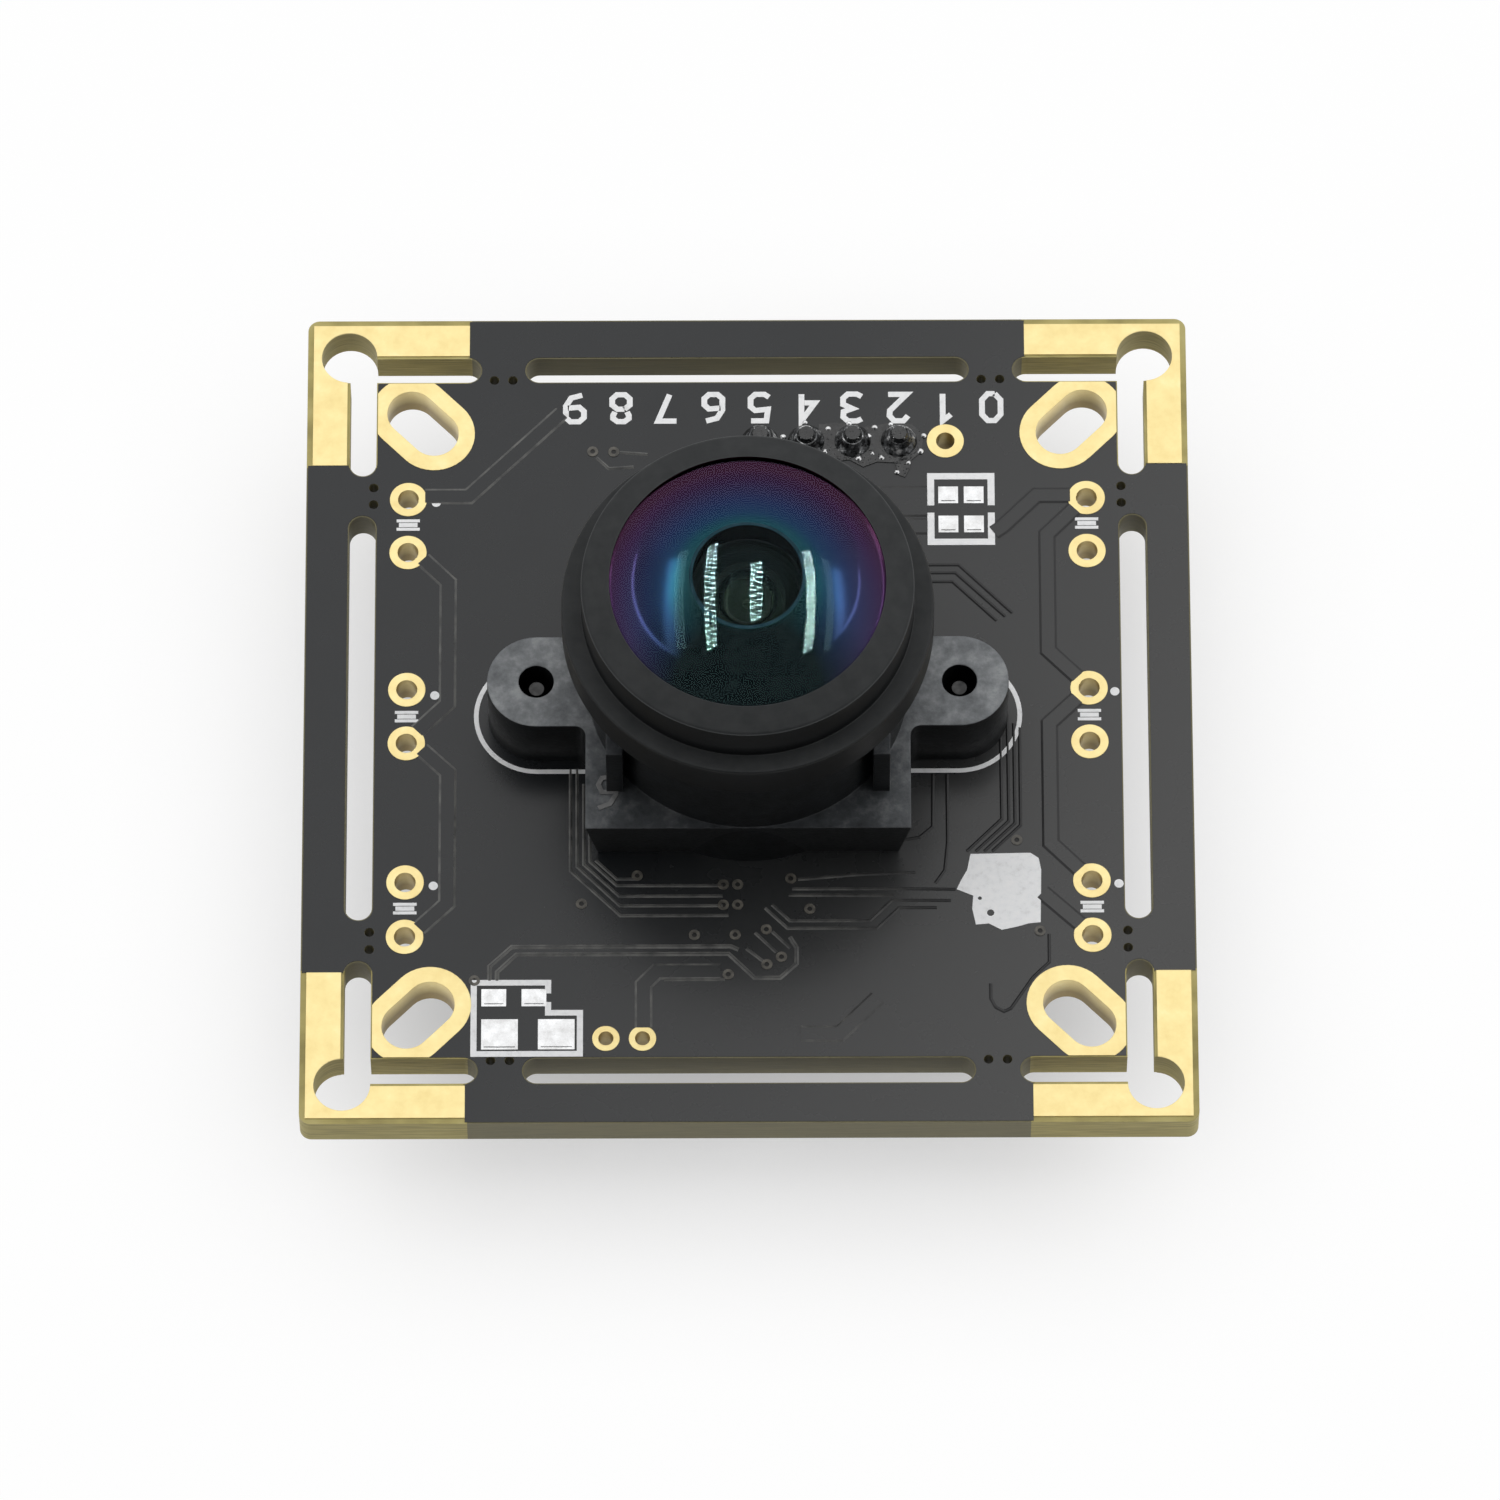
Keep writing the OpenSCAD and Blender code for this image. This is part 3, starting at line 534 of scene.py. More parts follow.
# What the coated inner face mirrors, from the edge of the hollow out to the rim, in millimetres.
FRONT_COAT = (
    (2.2, (0.012, 0.055, 0.060)), (2.8, (0.012, 0.075, 0.100)), (3.3, (0.015, 0.048, 0.115)),
    (4.0, (0.022, 0.036, 0.105)), (4.7, (0.034, 0.028, 0.080)), (5.3, (0.042, 0.018, 0.058)),
    (6.0, (0.046, 0.015, 0.036)),
)
DOME_COAT = ((0.0, (0.034, 0.056, 0.051)), (0.1, (0.042, 0.066, 0.066)), (0.3, (0.05, 0.05, 0.07)))
HOLLOW_COAT = ((0.0, (0.2, 0.3, 0.3)), (0.5, (0.2, 0.3, 0.4)))
INNER_COAT = ((0.0, (0.10, 0.13, 0.08)), (0.2, (0.07, 0.12, 0.09)), (0.5, (0.04, 0.10, 0.11)))


def rim_material():
    """Rounded edge round the hollow of the front glass."""
    n = Nodes("hollow_edge")
    color = n.ramp(n.noise(1.5, 3.0), (0.3, (0.012, 0.034, 0.046)), (0.7, (0.030, 0.070, 0.095)))
    return n.surface(color=color, metal=1.0, rough=0.35)


def inner_mirror():
    """Coating on the blackened inner face of the front glass: its colour turns towards rim and top."""
    n = Nodes("inner_mirror")
    xyz = n.axes()
    reach = n.reach(xyz)
    slanted = n.math("ADD", reach, n.math("MULTIPLY", xyz["Y"], 0.16))
    share = n.spread(slanted, 0.0, 1.0, at=(0.0, 10.0))
    tint = n.ramp(share, *((place / 10.0, tint) for place, tint in FRONT_COAT))
    # Seen squarely, it mirrors next to nothing.
    facing = n.add("LayerWeight", {"Blend": 0.5}).outputs["Facing"]
    square = n.spread(facing, 1.0, 0.0, at=(0.018, 0.055))
    color = n.mix(square, tint, (0.0035, 0.0062, 0.0075))
    # Towards the rim it leans up, so that its light leaves through the dome.
    outer = n.spread(reach, 0.0, 0.9, at=(4.3, 5.5))
    slope = n.add("NewGeometry").outputs["Normal"]
    lean = n.add("VectorMath", {0: n.mix(outer, slope, (0.0, 0.0, 1.0))}, operation="NORMALIZE").outputs[0]
    return n.surface(color=color, metal=1.0, rough=0.10, normal=lean)


def glass_paint():
    """Dark paint on the rim and wall of the glass, tinted purple and red on the sides and top as a painted
    reflection of the coating, and left dark at the front as painted shade.
    """
    n = Nodes("glass_paint")
    share = n.spread(n.axes()["Y"], 0.0, 1.0, at=(-5.0, 5.0))
    # Painted reflection of the coating towards the sides and top, painted shade at the front.
    color = n.ramp(share, (0.1, (0.0046, 0.0066, 0.0082)), (0.35, (0.045, 0.016, 0.070)),
                   (0.6, (0.095, 0.026, 0.100)), (0.95, (0.100, 0.034, 0.050)))
    return n.surface(color=color, rough=0.6, specular=0.2)


def flux_material():
    """Dark glossy flux left round the soldered pins."""
    n = Nodes("flux")
    color = n.ramp(n.noise(2.2, 4.0, 0.6), (0.35, (0.004, 0.0045, 0.005)), (0.7, (0.03, 0.031, 0.032)))
    return n.surface(color=color, rough=0.12, specular=0.7, normal=n.bump(n.noise(1.8, 3.0, 0.6), 0.25, 0.9))


def burnt_solder_material():
    """Solder under flux: dark, with bright patches."""
    n = Nodes("burnt_solder")
    patch = n.noise(2.4, 5.0, 0.65)
    color = n.ramp(patch, (0.42, (0.012, 0.0125, 0.013)), (0.56, (0.14, 0.145, 0.15)), (0.66, grey(0.6)))
    return n.surface(color=color, metal=0.6, rough=0.14, normal=n.bump(n.noise(2.0, 3.0), 0.18, 0.8))


# ---------------------------------------------------------------- settings

class CAMERA_PG_board(bpy.types.PropertyGroup):
    """Sizes and colours of what is printed on the board, of its tracks and of its finishes."""
    legend_line: bpy.props.FloatProperty(
        name="Legend line", description="Width of the printed lines",
        default=0.0002, subtype="DISTANCE", precision=5)
    legend_rise: bpy.props.FloatProperty(
        name="Legend rise", description="Thickness of the printed ink",
        default=0.000015, subtype="DISTANCE", precision=6)
    track_rise: bpy.props.FloatProperty(
        name="Track rise", description="Height of a track under the mask",
        default=0.000035, subtype="DISTANCE", precision=6)
    track_edge: bpy.props.FloatProperty(
        name="Track shoulder", description="Width of a track's sloping shoulder",
        default=0.0001, subtype="DISTANCE", precision=5)
    mask_color: bpy.props.FloatVectorProperty(
        name="Mask", description="Lighter shade of the solder mask",
        default=(0.0080, 0.0100, 0.0120), subtype="COLOR", size=3)
    gold_color: bpy.props.FloatVectorProperty(
        name="Plating", description="Middle shade of the gold plating",
        default=(0.94, 0.79, 0.385), subtype="COLOR", size=3)
    ink_color: bpy.props.FloatVectorProperty(
        name="Ink", description="Middle shade of the printed ink",
        default=(0.92, 0.93, 0.94), subtype="COLOR", size=3)


class CAMERA_PG_lens(bpy.types.PropertyGroup):
    """Sizes of the lens that the looks repeat from the solids."""
    flange_height: bpy.props.FloatProperty(
        name="Flange height", description="Thickness of the flange",
        default=0.00195, subtype="DISTANCE", precision=5)
    front_radius: bpy.props.FloatProperty(
        name="Front curvature", description="Radius of the outer glass face",
        default=0.0105, subtype="DISTANCE", precision=5)


# ---------------------------------------------------------------- board

def mask_outline():
    """Outline of the solder mask: inner board, tabs and the rim's middle stretches."""
    rim_out = HALF_BOARD - RIM_GAP
    rim_in = HALF_INNER + ROUTE_W + MASK_GAP
    inner = HALF_INNER - MASK_GAP
    r = ROUTE_W / 2 + MASK_GAP
    arm = CORNER_ARM_START + ROUTE_W / 2
    quarter = [(rim_out, LAND_START), (rim_in, LAND_START)]
    quarter += arc(ROUTE_MID, arm, r, 0, -180) + [(inner, inner)]
    quarter += arc(arm, ROUTE_MID, r, 270, 90) + [(LAND_START, rim_in), (LAND_START, rim_out)]
    return [point for q in range(4) for point in turned(quarter, q)]


def lamp_places():
    """Centres of the twelve lamp pin holes."""
    for x in (-LAMP_X, LAMP_X):
        for group in (-1, 0, 1):
            for side in (-1, 1):
                yield x, group * LAMP_STEP + side * LAMP_PITCH / 2


def pin_places(count=PIN_COUNT):
    """Centres of the connector's pin holes, from the first."""
    return [(PIN_X + i * PIN_PITCH, PIN_Y) for i in range(count)]


def board_openings(ear_hole):
    """Holes in the mask: slots, perforations, mounting slots, pin holes and screw holes."""
    end = LONG_SLOT_END - ROUTE_W / 2
    slot_in, slot_out, slot_r = MOUNT_SLOT
    for q in range(4):
        yield turned(stadium((-end, ROUTE_MID), (end, ROUTE_MID), ROUTE_W / 2 + MASK_GAP), q)
        for tab in (-1, 1):
            for side in (-1, 1):
                x = tab * TAB_X + side * TAB_HOLE_STEP
                yield turned(circle(x, TAB_HOLE_Y, TAB_HOLE_R, 16), q)
        yield turned(stadium((slot_in, slot_in), (slot_out, slot_out), slot_r), q)
    for x, y in lamp_places():
        yield circle(x, y, LAMP_RING_R)
    for x, y in pin_places():
        yield circle(x, y, PIN_RING_R)
    for x in TEST_XS:
        yield circle(x, TEST_Y, TEST_RING_R)
    for x in (-EAR_X, EAR_X):
        yield circle(x, 0.0, ear_hole)


class CAMERA_OT_board(bpy.types.Operator):
    """Laminate of the board and the solder mask on both faces"""
    bl_idname = "camera_looks.board"
    bl_label = "Board and mask"

    def execute(self, context):
        dress("circuit_board", laminate_material())
        mask = mask_material()
        for name, z, ear_hole in (("mask_front", BOARD_TOP, EAR_HOLE_FRONT),
                                  ("mask_back", -MASK_T, EAR_HOLE_BACK)):
            bm = bmesh.new()
            plate(bm, [mask_outline(), *board_openings(ear_hole)], z, MASK_T)
            piece(name, bm, [mask], smooth=20)
        return {"FINISHED"}


class CAMERA_OT_plating(bpy.types.Operator):
    """Bare gold lands and the plating of all holes"""
    bl_idname = "camera_looks.plating"
    bl_label = "Gold plating"

    def execute(self, context):
        gold = gold_material()
        for node in ("corner_lands", "slot_plating", "lamp_hole_plating", "pin_hole_plating",
                     "test_hole_plating"):
            dress(node, gold)
        return {"FINISHED"}


# Tracks under the mask: width in millimetres, then the points of each route.
WIDE = 0.75
FINE = 0.15
TRACKS = (
    (WIDE, [(-14.2, 10.5), (-12.0, 10.5), (-8.0, 14.5)]),
    (WIDE, [(-14.2, 7.75), (-12.86, 6.38), (-12.86, 0.6), (-14.2, -0.75)]),
    (WIDE, [(-14.2, -1.3), (-12.82, -2.65), (-12.82, -8.8), (-14.2, -10.15)]),
    (WIDE, [(-4.46, -14.6), (-4.46, -12.6), (-3.9, -12.0), (-1.2, -12.0)]),
    (WIDE, [(10.6, 8.7), (11.0, 9.0), (12.45, 10.47), (14.1, 10.47)]),
    (WIDE, [(14.2, 9.95), (12.88, 8.6), (12.88, 3.05), (14.2, 1.7)]),
    (WIDE, [(14.2, 0.9), (12.88, -0.4), (12.88, -6.05), (14.2, -7.4)]),
    (WIDE, [(12.5, -8.35), (14.2, -9.95)]),
    (WIDE, [(2.2, -14.9), (3.85, -14.9), (5.45, -13.25)]),
    (1.5, [(5.2, 10.2), (7.75, 10.2)]),
    (0.8, [(6.4, 9.0), (7.75, 9.0)]),
    (FINE, [(-7.58, -2.5), (-7.57, -7.29), (-5.44, -9.39), (-0.85, -9.39)]),
    (FINE, [(-7.3, -2.5), (-7.29, -7.09), (-5.46, -8.93), (-1.1, -8.93)]),
    (FINE, [(-7.01, -3.2), (-7.0, -6.99), (-5.49, -8.48), (-1.1, -8.48)]),
    (FINE, [(-6.76, -5.0), (-6.74, -6.85), (-5.6, -7.98), (-1.1, -8.0)]),
    (FINE, [(-6.5, -6.8), (-5.6, -7.68), (-4.8, -7.68)]),
    (0.2, [(-10.99, -12.4), (-10.99, -11.73), (-10.05, -10.83), (-0.75, -10.83), (-0.43, -10.99)]),
    (0.2, [(-10.67, -12.4), (-10.67, -12.0), (-9.85, -11.18), (-0.85, -11.18), (0.25, -12.3),
           (1.33, -12.3), (2.03, -11.65), (2.03, -10.9), (1.75, -10.4)]),
    (FINE, [(0.7, -9.05), (1.65, -10.0), (5.45, -10.0), (6.4, -9.05), (8.0, -9.05)]),
    (FINE, [(1.0, -8.9), (1.75, -9.65), (5.15, -9.65), (6.1, -8.7), (8.6, -8.72)]),
    (FINE, [(1.7, -8.45), (6.2, -8.48)]),
    (FINE, [(1.85, -8.16), (6.3, -8.16), (8.8, -8.2)]),
    (FINE, [(2.1, -7.72), (4.6, -7.5), (7.1, -7.4)]),
    (FINE, [(6.5, -5.9), (7.3, -5.75), (7.85, -5.25), (7.88, -2.8)]),
    (FINE, [(8.48, -2.8), (8.48, -6.0), (8.35, -7.3), (7.95, -7.9)]),
    (FINE, [(10.78, 0.0), (10.8, -4.9), (9.3, -6.42)]),
    (FINE, [(11.08, 0.0), (11.1, -5.0), (9.68, -6.42)]),
    (FINE, [(11.35, -0.4), (11.36, -5.1), (10.04, -6.42)]),
    (FINE, [(11.6, -0.6), (11.6, -5.2), (10.38, -6.42)]),
    (FINE, [(7.0, 7.15), (9.07, 7.15), (11.35, 4.85)]),
    (FINE, [(7.0, 6.77), (8.93, 6.77), (11.04, 4.68)]),
    (FINE, [(7.0, 6.35), (8.8, 6.35), (10.67, 4.48)]),
    (FINE, [(12.75, -10.3), (12.75, -11.6), (12.05, -12.3), (11.1, -13.75), (10.8, -13.9),
            (10.45, -13.7), (10.25, -13.3), (10.25, -12.6)]),
    (FINE, [(1.0, -10.15), (1.76, -10.93)]),
    (FINE, [(0.27, -10.2), (1.17, -11.12)]),
    (FINE, [(-0.1, -10.94), (0.6, -11.52)]),
    (FINE, [(-6.5, 12.35), (-5.97, 11.82), (-4.9, 11.9)]),
    (FINE, [(-5.5, 12.6), (-4.3, 12.5)]),
    (FINE, [(-1.0, -12.37), (-3.6, -12.37)]),
)
VIAS = (
    (-6.67, 12.64), (-5.76, 12.62), (-4.73, -7.52), (-1.07, -7.95), (-0.46, -7.95), (-1.07, -8.9),
    (-0.46, -8.9), (-2.3, -10.3), (-0.57, -10.3), (-0.87, -12.14), (-7.1, -8.83), (-11.63, -12.4),
    (1.8, -7.68), (2.6, -9.1), (0.75, -10.05), (0.77, -11.68), (1.39, -11.33), (11.43, -5.9),
    (12.37, -10.15),
)
VIA_HOLE_R = 0.11
RING_R = 0.7      # a track ends this far from the middle of a bare ring

# Small bulges of the bare rings, where a track meets them: ring number and angle in degrees.
BULGES = ((4, -40), (5, -5), (3, -35), (2, 40), (2, -38), (1, 38),
          (11, 165), (11, 205), (9, 148), (7, 150), (6, 140))


def clear_of_rings(path):
    """A route whose ends stop at the bare rings they run into."""
    points = [Vector(p) for p in path]
    for end, beside in ((0, 1), (-1, -2)):
        for spot in lamp_places():
            while (points[end] - Vector(spot)).length < RING_R:
                points[end] = points[end] + (points[beside] - points[end]).normalized() * 0.04
    return points


class CAMERA_OT_tracks(bpy.types.Operator):
    """Tracks and vias under the mask"""
    bl_idname = "camera_looks.tracks"
    bl_label = "Tracks"

    def execute(self, context):
        sizes = context.scene.camera_looks_board
        rise, edge = sizes.track_rise / MM, sizes.track_edge / MM
        bm = bmesh.new()
        for width, path in TRACKS:
            ribbon(bm, clear_of_rings(path), width, MASK_TOP, rise, min(edge, width * 0.45))
        piece("tracks_front", bm, [mask_material(), track_edge_material()], smooth=10)
        self.vias(rise)
        self.bulges()
        return {"FINISHED"}

    def vias(self, rise):
        """Rings of the small plated holes, and dark discs over their middles as painted shade."""
        bm = bmesh.new()
        for x, y in VIAS:
            plate(bm, [circle(x, y, 0.24, 20), circle(x, y, VIA_HOLE_R, 12)], MASK_TOP, rise)
        piece("via_rings", bm, [via_material()], smooth=20)
        # Painted shade: a near-black disc stands for the shade inside each hole.
        bm = bmesh.new()
        for x, y in VIAS:
            disc(bm, x, y, MASK_TOP, VIA_HOLE_R, 0.006, 12)
        piece("via_holes", bm, [Nodes("via_dark").surface(color=grey(0.003), rough=0.5)])

    def bulges(self):
        """Widened spots of the bare rings."""
        rings = list(lamp_places())
        bm = bmesh.new()
        for number, degrees in BULGES:
            x, y = rings[number]
            a = math.radians(degrees)
            disc(bm, x + 0.6 * math.cos(a), y + 0.6 * math.sin(a), MASK_TOP, 0.17, 0.02, 14)
        piece("ring_bulges", bm, [gold_material()], smooth=20)


# Strokes of the plain numerals that count the pin pitch along the upper edge, in millimetres.
STROKES = (
    [(0.25, 0), (0.55, 0), (0.8, 0.3), (0.8, 1.0), (0.55, 1.3), (0.25, 1.3), (0, 1.0), (0, 0.3), (0.25, 0)],
    [(0.15, 1.0), (0.5, 1.3), (0.5, 0)],
    [(0, 1.05), (0.2, 1.3), (0.6, 1.3), (0.8, 1.05), (0.78, 0.8), (0.05, 0.02), (0.85, 0.02)],
    [(0, 1.2), (0.2, 1.3), (0.6, 1.3), (0.8, 1.1), (0.78, 0.85), (0.4, 0.7), (0.8, 0.5), (0.8, 0.2),
     (0.6, 0), (0.2, 0), (0, 0.12)],
    [(0.6, 0), (0.6, 1.28), (0.02, 0.42), (0.47, 0.42)],
    [(0.78, 1.28), (0.12, 1.28), (0.05, 0.72), (0.6, 0.78), (0.8, 0.6), (0.8, 0.2), (0.6, 0), (0.2, 0),
     (0, 0.14)],
    [(0.72, 1.28), (0.25, 1.15), (0.02, 0.75), (0.02, 0.2), (0.22, 0), (0.6, 0), (0.8, 0.2), (0.8, 0.5),
     (0.6, 0.7), (0.1, 0.66)],
    [(0, 1.28), (0.8, 1.28), (0.3, 0)],
    [(0.25, 0.7), (0.55, 0.7), (0.78, 0.5), (0.78, 0.2), (0.58, 0), (0.22, 0), (0.02, 0.2), (0.02, 0.5),
     (0.25, 0.7)],
)


# The upper loop of the 8, left open where it meets the lower one.
UPPER_LOOP = [(0.14, 0.83), (0.06, 1.0), (0.06, 1.15), (0.25, 1.3), (0.55, 1.3), (0.74, 1.15), (0.74, 1.0),
              (0.66, 0.83)]
NUMERAL_W, NUMERAL_H = 0.8, 1.3
NUMERAL_LINE = 0.25
NUMERAL_Y = 15.38


def numeral(digit, x, y):
    """The strokes of a numeral that reads from the far side of the board, from its lower left corner."""
    # The 9 is the 6 turned half round.
    if digit == 9:
        return [[(x - NUMERAL_W + u, y - NUMERAL_H + v) for u, v in STROKES[6]]]
    strokes = [STROKES[digit], UPPER_LOOP] if digit == 8 else [STROKES[digit]]
    return [[(x - u, y - v) for u, v in stroke] for stroke in strokes]


# Frames printed round the empty pads: width in shares of the legend line, then the points.
PAD_FRAMES = (
    (1.5, [(7.9, 10.0), (7.9, 11.4), (10.5, 11.4), (10.5, 10.0)]),
    (1.5, [(7.9, 9.65), (7.9, 8.25), (10.5, 8.25), (10.5, 9.65)]),
    (1.3, [(-8.5, -13.0), (-8.5, -12.5), (-11.65, -12.5), (-11.65, -15.8), (-7.15, -15.8),
           (-7.15, -13.9), (-8.5, -13.9), (-8.5, -13.4)]),
)
FIRST_PIN_DOTS = ((-13.4, 10.2), (-13.4, 1.0), (-13.4, -7.97), (15.75, -7.95), (15.7, 1.1))
LAMP_MARK_YS = (9.13, 0.0, -9.03)

# The painted block at the lower right, worn along its edge and in two spots.
PAINT_BLOCK = [
    (9.45, -6.55), (12.0, -6.5), (12.35, -6.75), (12.45, -7.3), (12.4, -9.75), (11.9, -9.8),
    (11.4, -9.95), (10.75, -10.1), (10.2, -9.8), (9.65, -9.85), (9.5, -9.1), (9.55, -8.5),
    (9.1, -8.3), (8.85, -8.2), (9.05, -7.75), (9.3, -7.3),
]
BLOCK_SPOTS = ((10.28, -9.3, 0.16, 9), (9.83, -8.62, 0.09, 7))


class CAMERA_OT_legend(bpy.types.Operator):
    """White printed marks on the front of the board"""
    bl_idname = "camera_looks.legend"
    bl_label = "Printed legend"

    def execute(self, context):
        sizes = context.scene.camera_looks_board
        line, rise = sizes.legend_line / MM, sizes.legend_rise / MM
        bm = bmesh.new()
        self.holder_outline(bm, line, rise)
        for share, path in PAD_FRAMES:
            ribbon(bm, path, share * line, MASK_TOP, rise)
        for digit in range(10):
            x = PIN_X + (5 - digit) * PIN_PITCH + NUMERAL_W / 2
            for stroke in numeral(digit, x, NUMERAL_Y):
                ribbon(bm, stroke, NUMERAL_LINE, MASK_TOP, rise)
        for x, y in FIRST_PIN_DOTS:
            disc(bm, x, y, MASK_TOP, 0.2, rise, 16)
        self.lamp_marks(bm, rise)
        plate(bm, [PAINT_BLOCK, *(circle(*spot) for spot in BLOCK_SPOTS)], MASK_TOP, rise)
        piece("legend_front", bm, [print_material()], smooth=20)
        return {"FINISHED"}

    def holder_outline(self, bm, line, rise):
        """A line round each ear of the lens holder."""
        r = EAR_LINE_R
        for side in (-1, 1):
            bow = [(side * (EAR_X + r * math.sin(a)), r * math.cos(a))
                   for a in (math.radians(d) for d in range(0, 181, 6))]
            ribbon(bm, [(side * EAR_LINE_X, r), *bow, (side * EAR_LINE_X, -r)], line, MASK_TOP, rise)

    def lamp_marks(self, bm, rise):
        """Three short bars between the two holes of each lamp."""
        for x in (-LAMP_X, LAMP_X):
            for y in LAMP_MARK_YS:
                for step in (-0.2, 0.2):
                    ribbon(bm, [(x - 0.5, y + step), (x + 0.5, y + step)], 0.14, MASK_TOP, rise)
                ribbon(bm, [(x - 0.4, y), (x + 0.4, y)], 0.2, MASK_TOP, rise)


# Flux spilled round two of the pins, and specks of solder as centre and radius.
FLUX_RISE = 0.05
FLUX_PUDDLE = [
    (3.1, 13.9), (4.2, 14.0), (5.0, 13.75), (6.1, 13.95), (7.1, 13.9), (7.6, 13.4), (7.55, 12.6),
    (7.1, 12.2), (7.0, 11.75), (6.8, 11.35), (6.55, 11.45), (6.35, 12.05), (5.6, 12.1),
    (5.0, 11.85), (4.4, 12.2), (3.7, 12.1), (3.0, 12.5),
]
SOLDER_SPECKS = (
    (5.2, 13.3, 0.17), (5.07, 12.85, 0.12), (4.8, 12.27, 0.14), (5.8, 12.3, 0.12), (5.4, 12.5, 0.09),
    (7.47, 12.6, 0.14), (7.62, 13.35, 0.12), (6.45, 11.6, 0.11), (3.5, 13.7, 0.12), (3.35, 12.6, 0.12),
    (1.55, 13.3, 0.14), (5.5, 13.75, 0.13), (6.95, 12.05, 0.1), (4.4, 13.95, 0.12), (2.5, 14.0, 0.11),
    (6.2, 13.9, 0.1),
)


class CAMERA_OT_solder(bpy.types.Operator):
    """Solder on the pads and around the pins"""
    bl_idname = "camera_looks.solder"
    bl_label = "Solder"

    def execute(self, context):
        solder = solder_material()
        for node in ("solder_pads", "wafer_contacts"):
            dress(node, solder)
        dress("pin_solder", burnt_solder_material())
        flux = flux_material()
        bm = bmesh.new()
        soldered = pin_places(PIN_COUNT - 1)
        plate(bm, [FLUX_PUDDLE, *(circle(x, y, 0.63) for x, y in soldered[2:])], MASK_TOP, FLUX_RISE)
        piece("flux_puddle", bm, [flux], smooth=60)
        tip = max(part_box("wafer_contacts")[1][2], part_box("pin_solder")[1][2]) / MM
        bm = bmesh.new()
        for x, y in soldered:
            disc(bm, x, y, tip - 0.3, 0.46, 0.33, 20, crown=0.3)
        piece("pin_ends", bm, [flux], smooth=60)
        bm = bmesh.new()
        for x, y, size in SOLDER_SPECKS:
            disc(bm, x, y, MASK_TOP + FLUX_RISE, size, size * 0.6, 10, crown=0.5)
        piece("solder_specks", bm, [solder], smooth=60)
        return {"FINISHED"}


# ---------------------------------------------------------------- holder and lens

# The raised number of the mould's cavity on the holder's lower block.
CAVITY_NUMBER = [
    (-6.35, -5.95), (-5.85, -5.75), (-5.6, -5.3), (-5.6, -4.75), (-5.85, -4.5), (-6.2, -4.55),
    (-6.35, -4.85), (-6.2, -5.2), (-5.7, -5.2),
]


class CAMERA_OT_holder(bpy.types.Operator):
    """Lens holder moulding and its two screws"""
    bl_idname = "camera_looks.holder"
    bl_label = "Lens holder"

    def execute(self, context):
        dress("lens_holder", moulding_material())
        dress("holder_screws", plain_metal("screw_black", grey(0.03), grey(0.07), rough=0.32))
        bm = bmesh.new()
        ribbon(bm, CAVITY_NUMBER, 0.2, BOARD_TOP + HOLDER_BASE, 0.05)
        # The numeral is paler than the moulding around it: a painted highlight on the raised strokes.
        pale = plain_plastic("mould_numeral", grey(0.13), grey(0.24), edge=0.02)
        piece("mould_numeral", bm, [pale], smooth=20)
        dress("lock_bead", plain_plastic("thread_lock", grey(0.018), grey(0.035), rough=0.3))
        return {"FINISHED"}


def heights():
    """Heights of the lens in millimetres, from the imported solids."""
    barrel_low, barrel_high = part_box("lens_barrel")
    ring_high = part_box("retaining_ring")[1]
    front_low, front_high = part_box("front_element")
    return {
        "thread": barrel_low[2] / MM, "head": barrel_high[2] / MM, "flange_r": barrel_high[0] / MM,
        "rim": ring_high[2] / MM, "head_r": ring_high[0] / MM,
        "glass_back": front_low[2] / MM, "glass_top": front_high[2] / MM, "glass_r": front_high[0] / MM,
    }


class CAMERA_OT_barrel(bpy.types.Operator):
    """Turned lens body and the ring that holds the front glass"""
    bl_idname = "camera_looks.barrel"
    bl_label = "Lens barrel"

    def execute(self, context):
        h = heights()
        black = anodised_material()
        flange_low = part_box("lock_bead")[1][2] / MM
        flange_top = flange_low + context.scene.camera_looks_lens.flange_height / MM
        seat = h["glass_back"] - SEAT_DROP
        seat_r = h["glass_r"] + GLASS_FIT
        head_r, flange_r = h["head_r"], h["flange_r"]
        outline = [
            (REAR_BORE_R, h["thread"]), (THREAD_R, h["thread"]),
            (THREAD_R, flange_low), (flange_r, flange_low), (flange_r, flange_top), (head_r, flange_top),
            (head_r, h["head"]), (seat_r, h["head"]), (seat_r, seat), (SECOND_BORE_R, seat),
            (SECOND_BORE_R, SECOND_SEAT), (MIDDLE_BORE_R, SECOND_SEAT),
            (MIDDLE_BORE_R, MIDDLE_SEAT), (LIGHT_BORE_R, MIDDLE_SEAT),
            (LIGHT_BORE_R, REAR_SEAT), (REAR_BORE_R, REAR_SEAT),
        ]
        radii = [0, 0.1, 0, 0.12, 0.14, 0.05] + [0] * 10
        bm = bmesh.new()
        spun(bm, rounded_profile(outline, radii))
        piece("lens_body", bm, [black], ["lens_barrel"], smooth=40)
        ring = [
            (GLASS_OPEN_R, h["rim"]), (head_r - 0.1, h["head"] + 0.06), (head_r, h["head"]),
            (seat_r, h["head"]), (GLASS_OPEN_R + 0.05, h["rim"] - 0.1),
        ]
        bm = bmesh.new()
        spun(bm, rounded_profile(ring, [0.04, 0.05, 0, 0, 0]))
        piece("front_ring", bm, [black], ["retaining_ring"], smooth=50)
        for node in ("spacer_sleeve", "aperture_stop", "rear_retainer"):
            dress(node, black)
        return {"FINISHED"}


def bowl(radius, centre_z, edge_r, n=40):
    """Profile points of a domed spherical face, from the axis out to edge_r."""
    limit = math.asin(edge_r / radius)
    angles = [limit * i / n for i in range(n + 1)]
    points = [(radius * math.sin(a), centre_z + radius * math.cos(a)) for a in angles]
    points[0] = (0.0, points[0][1])
    return points


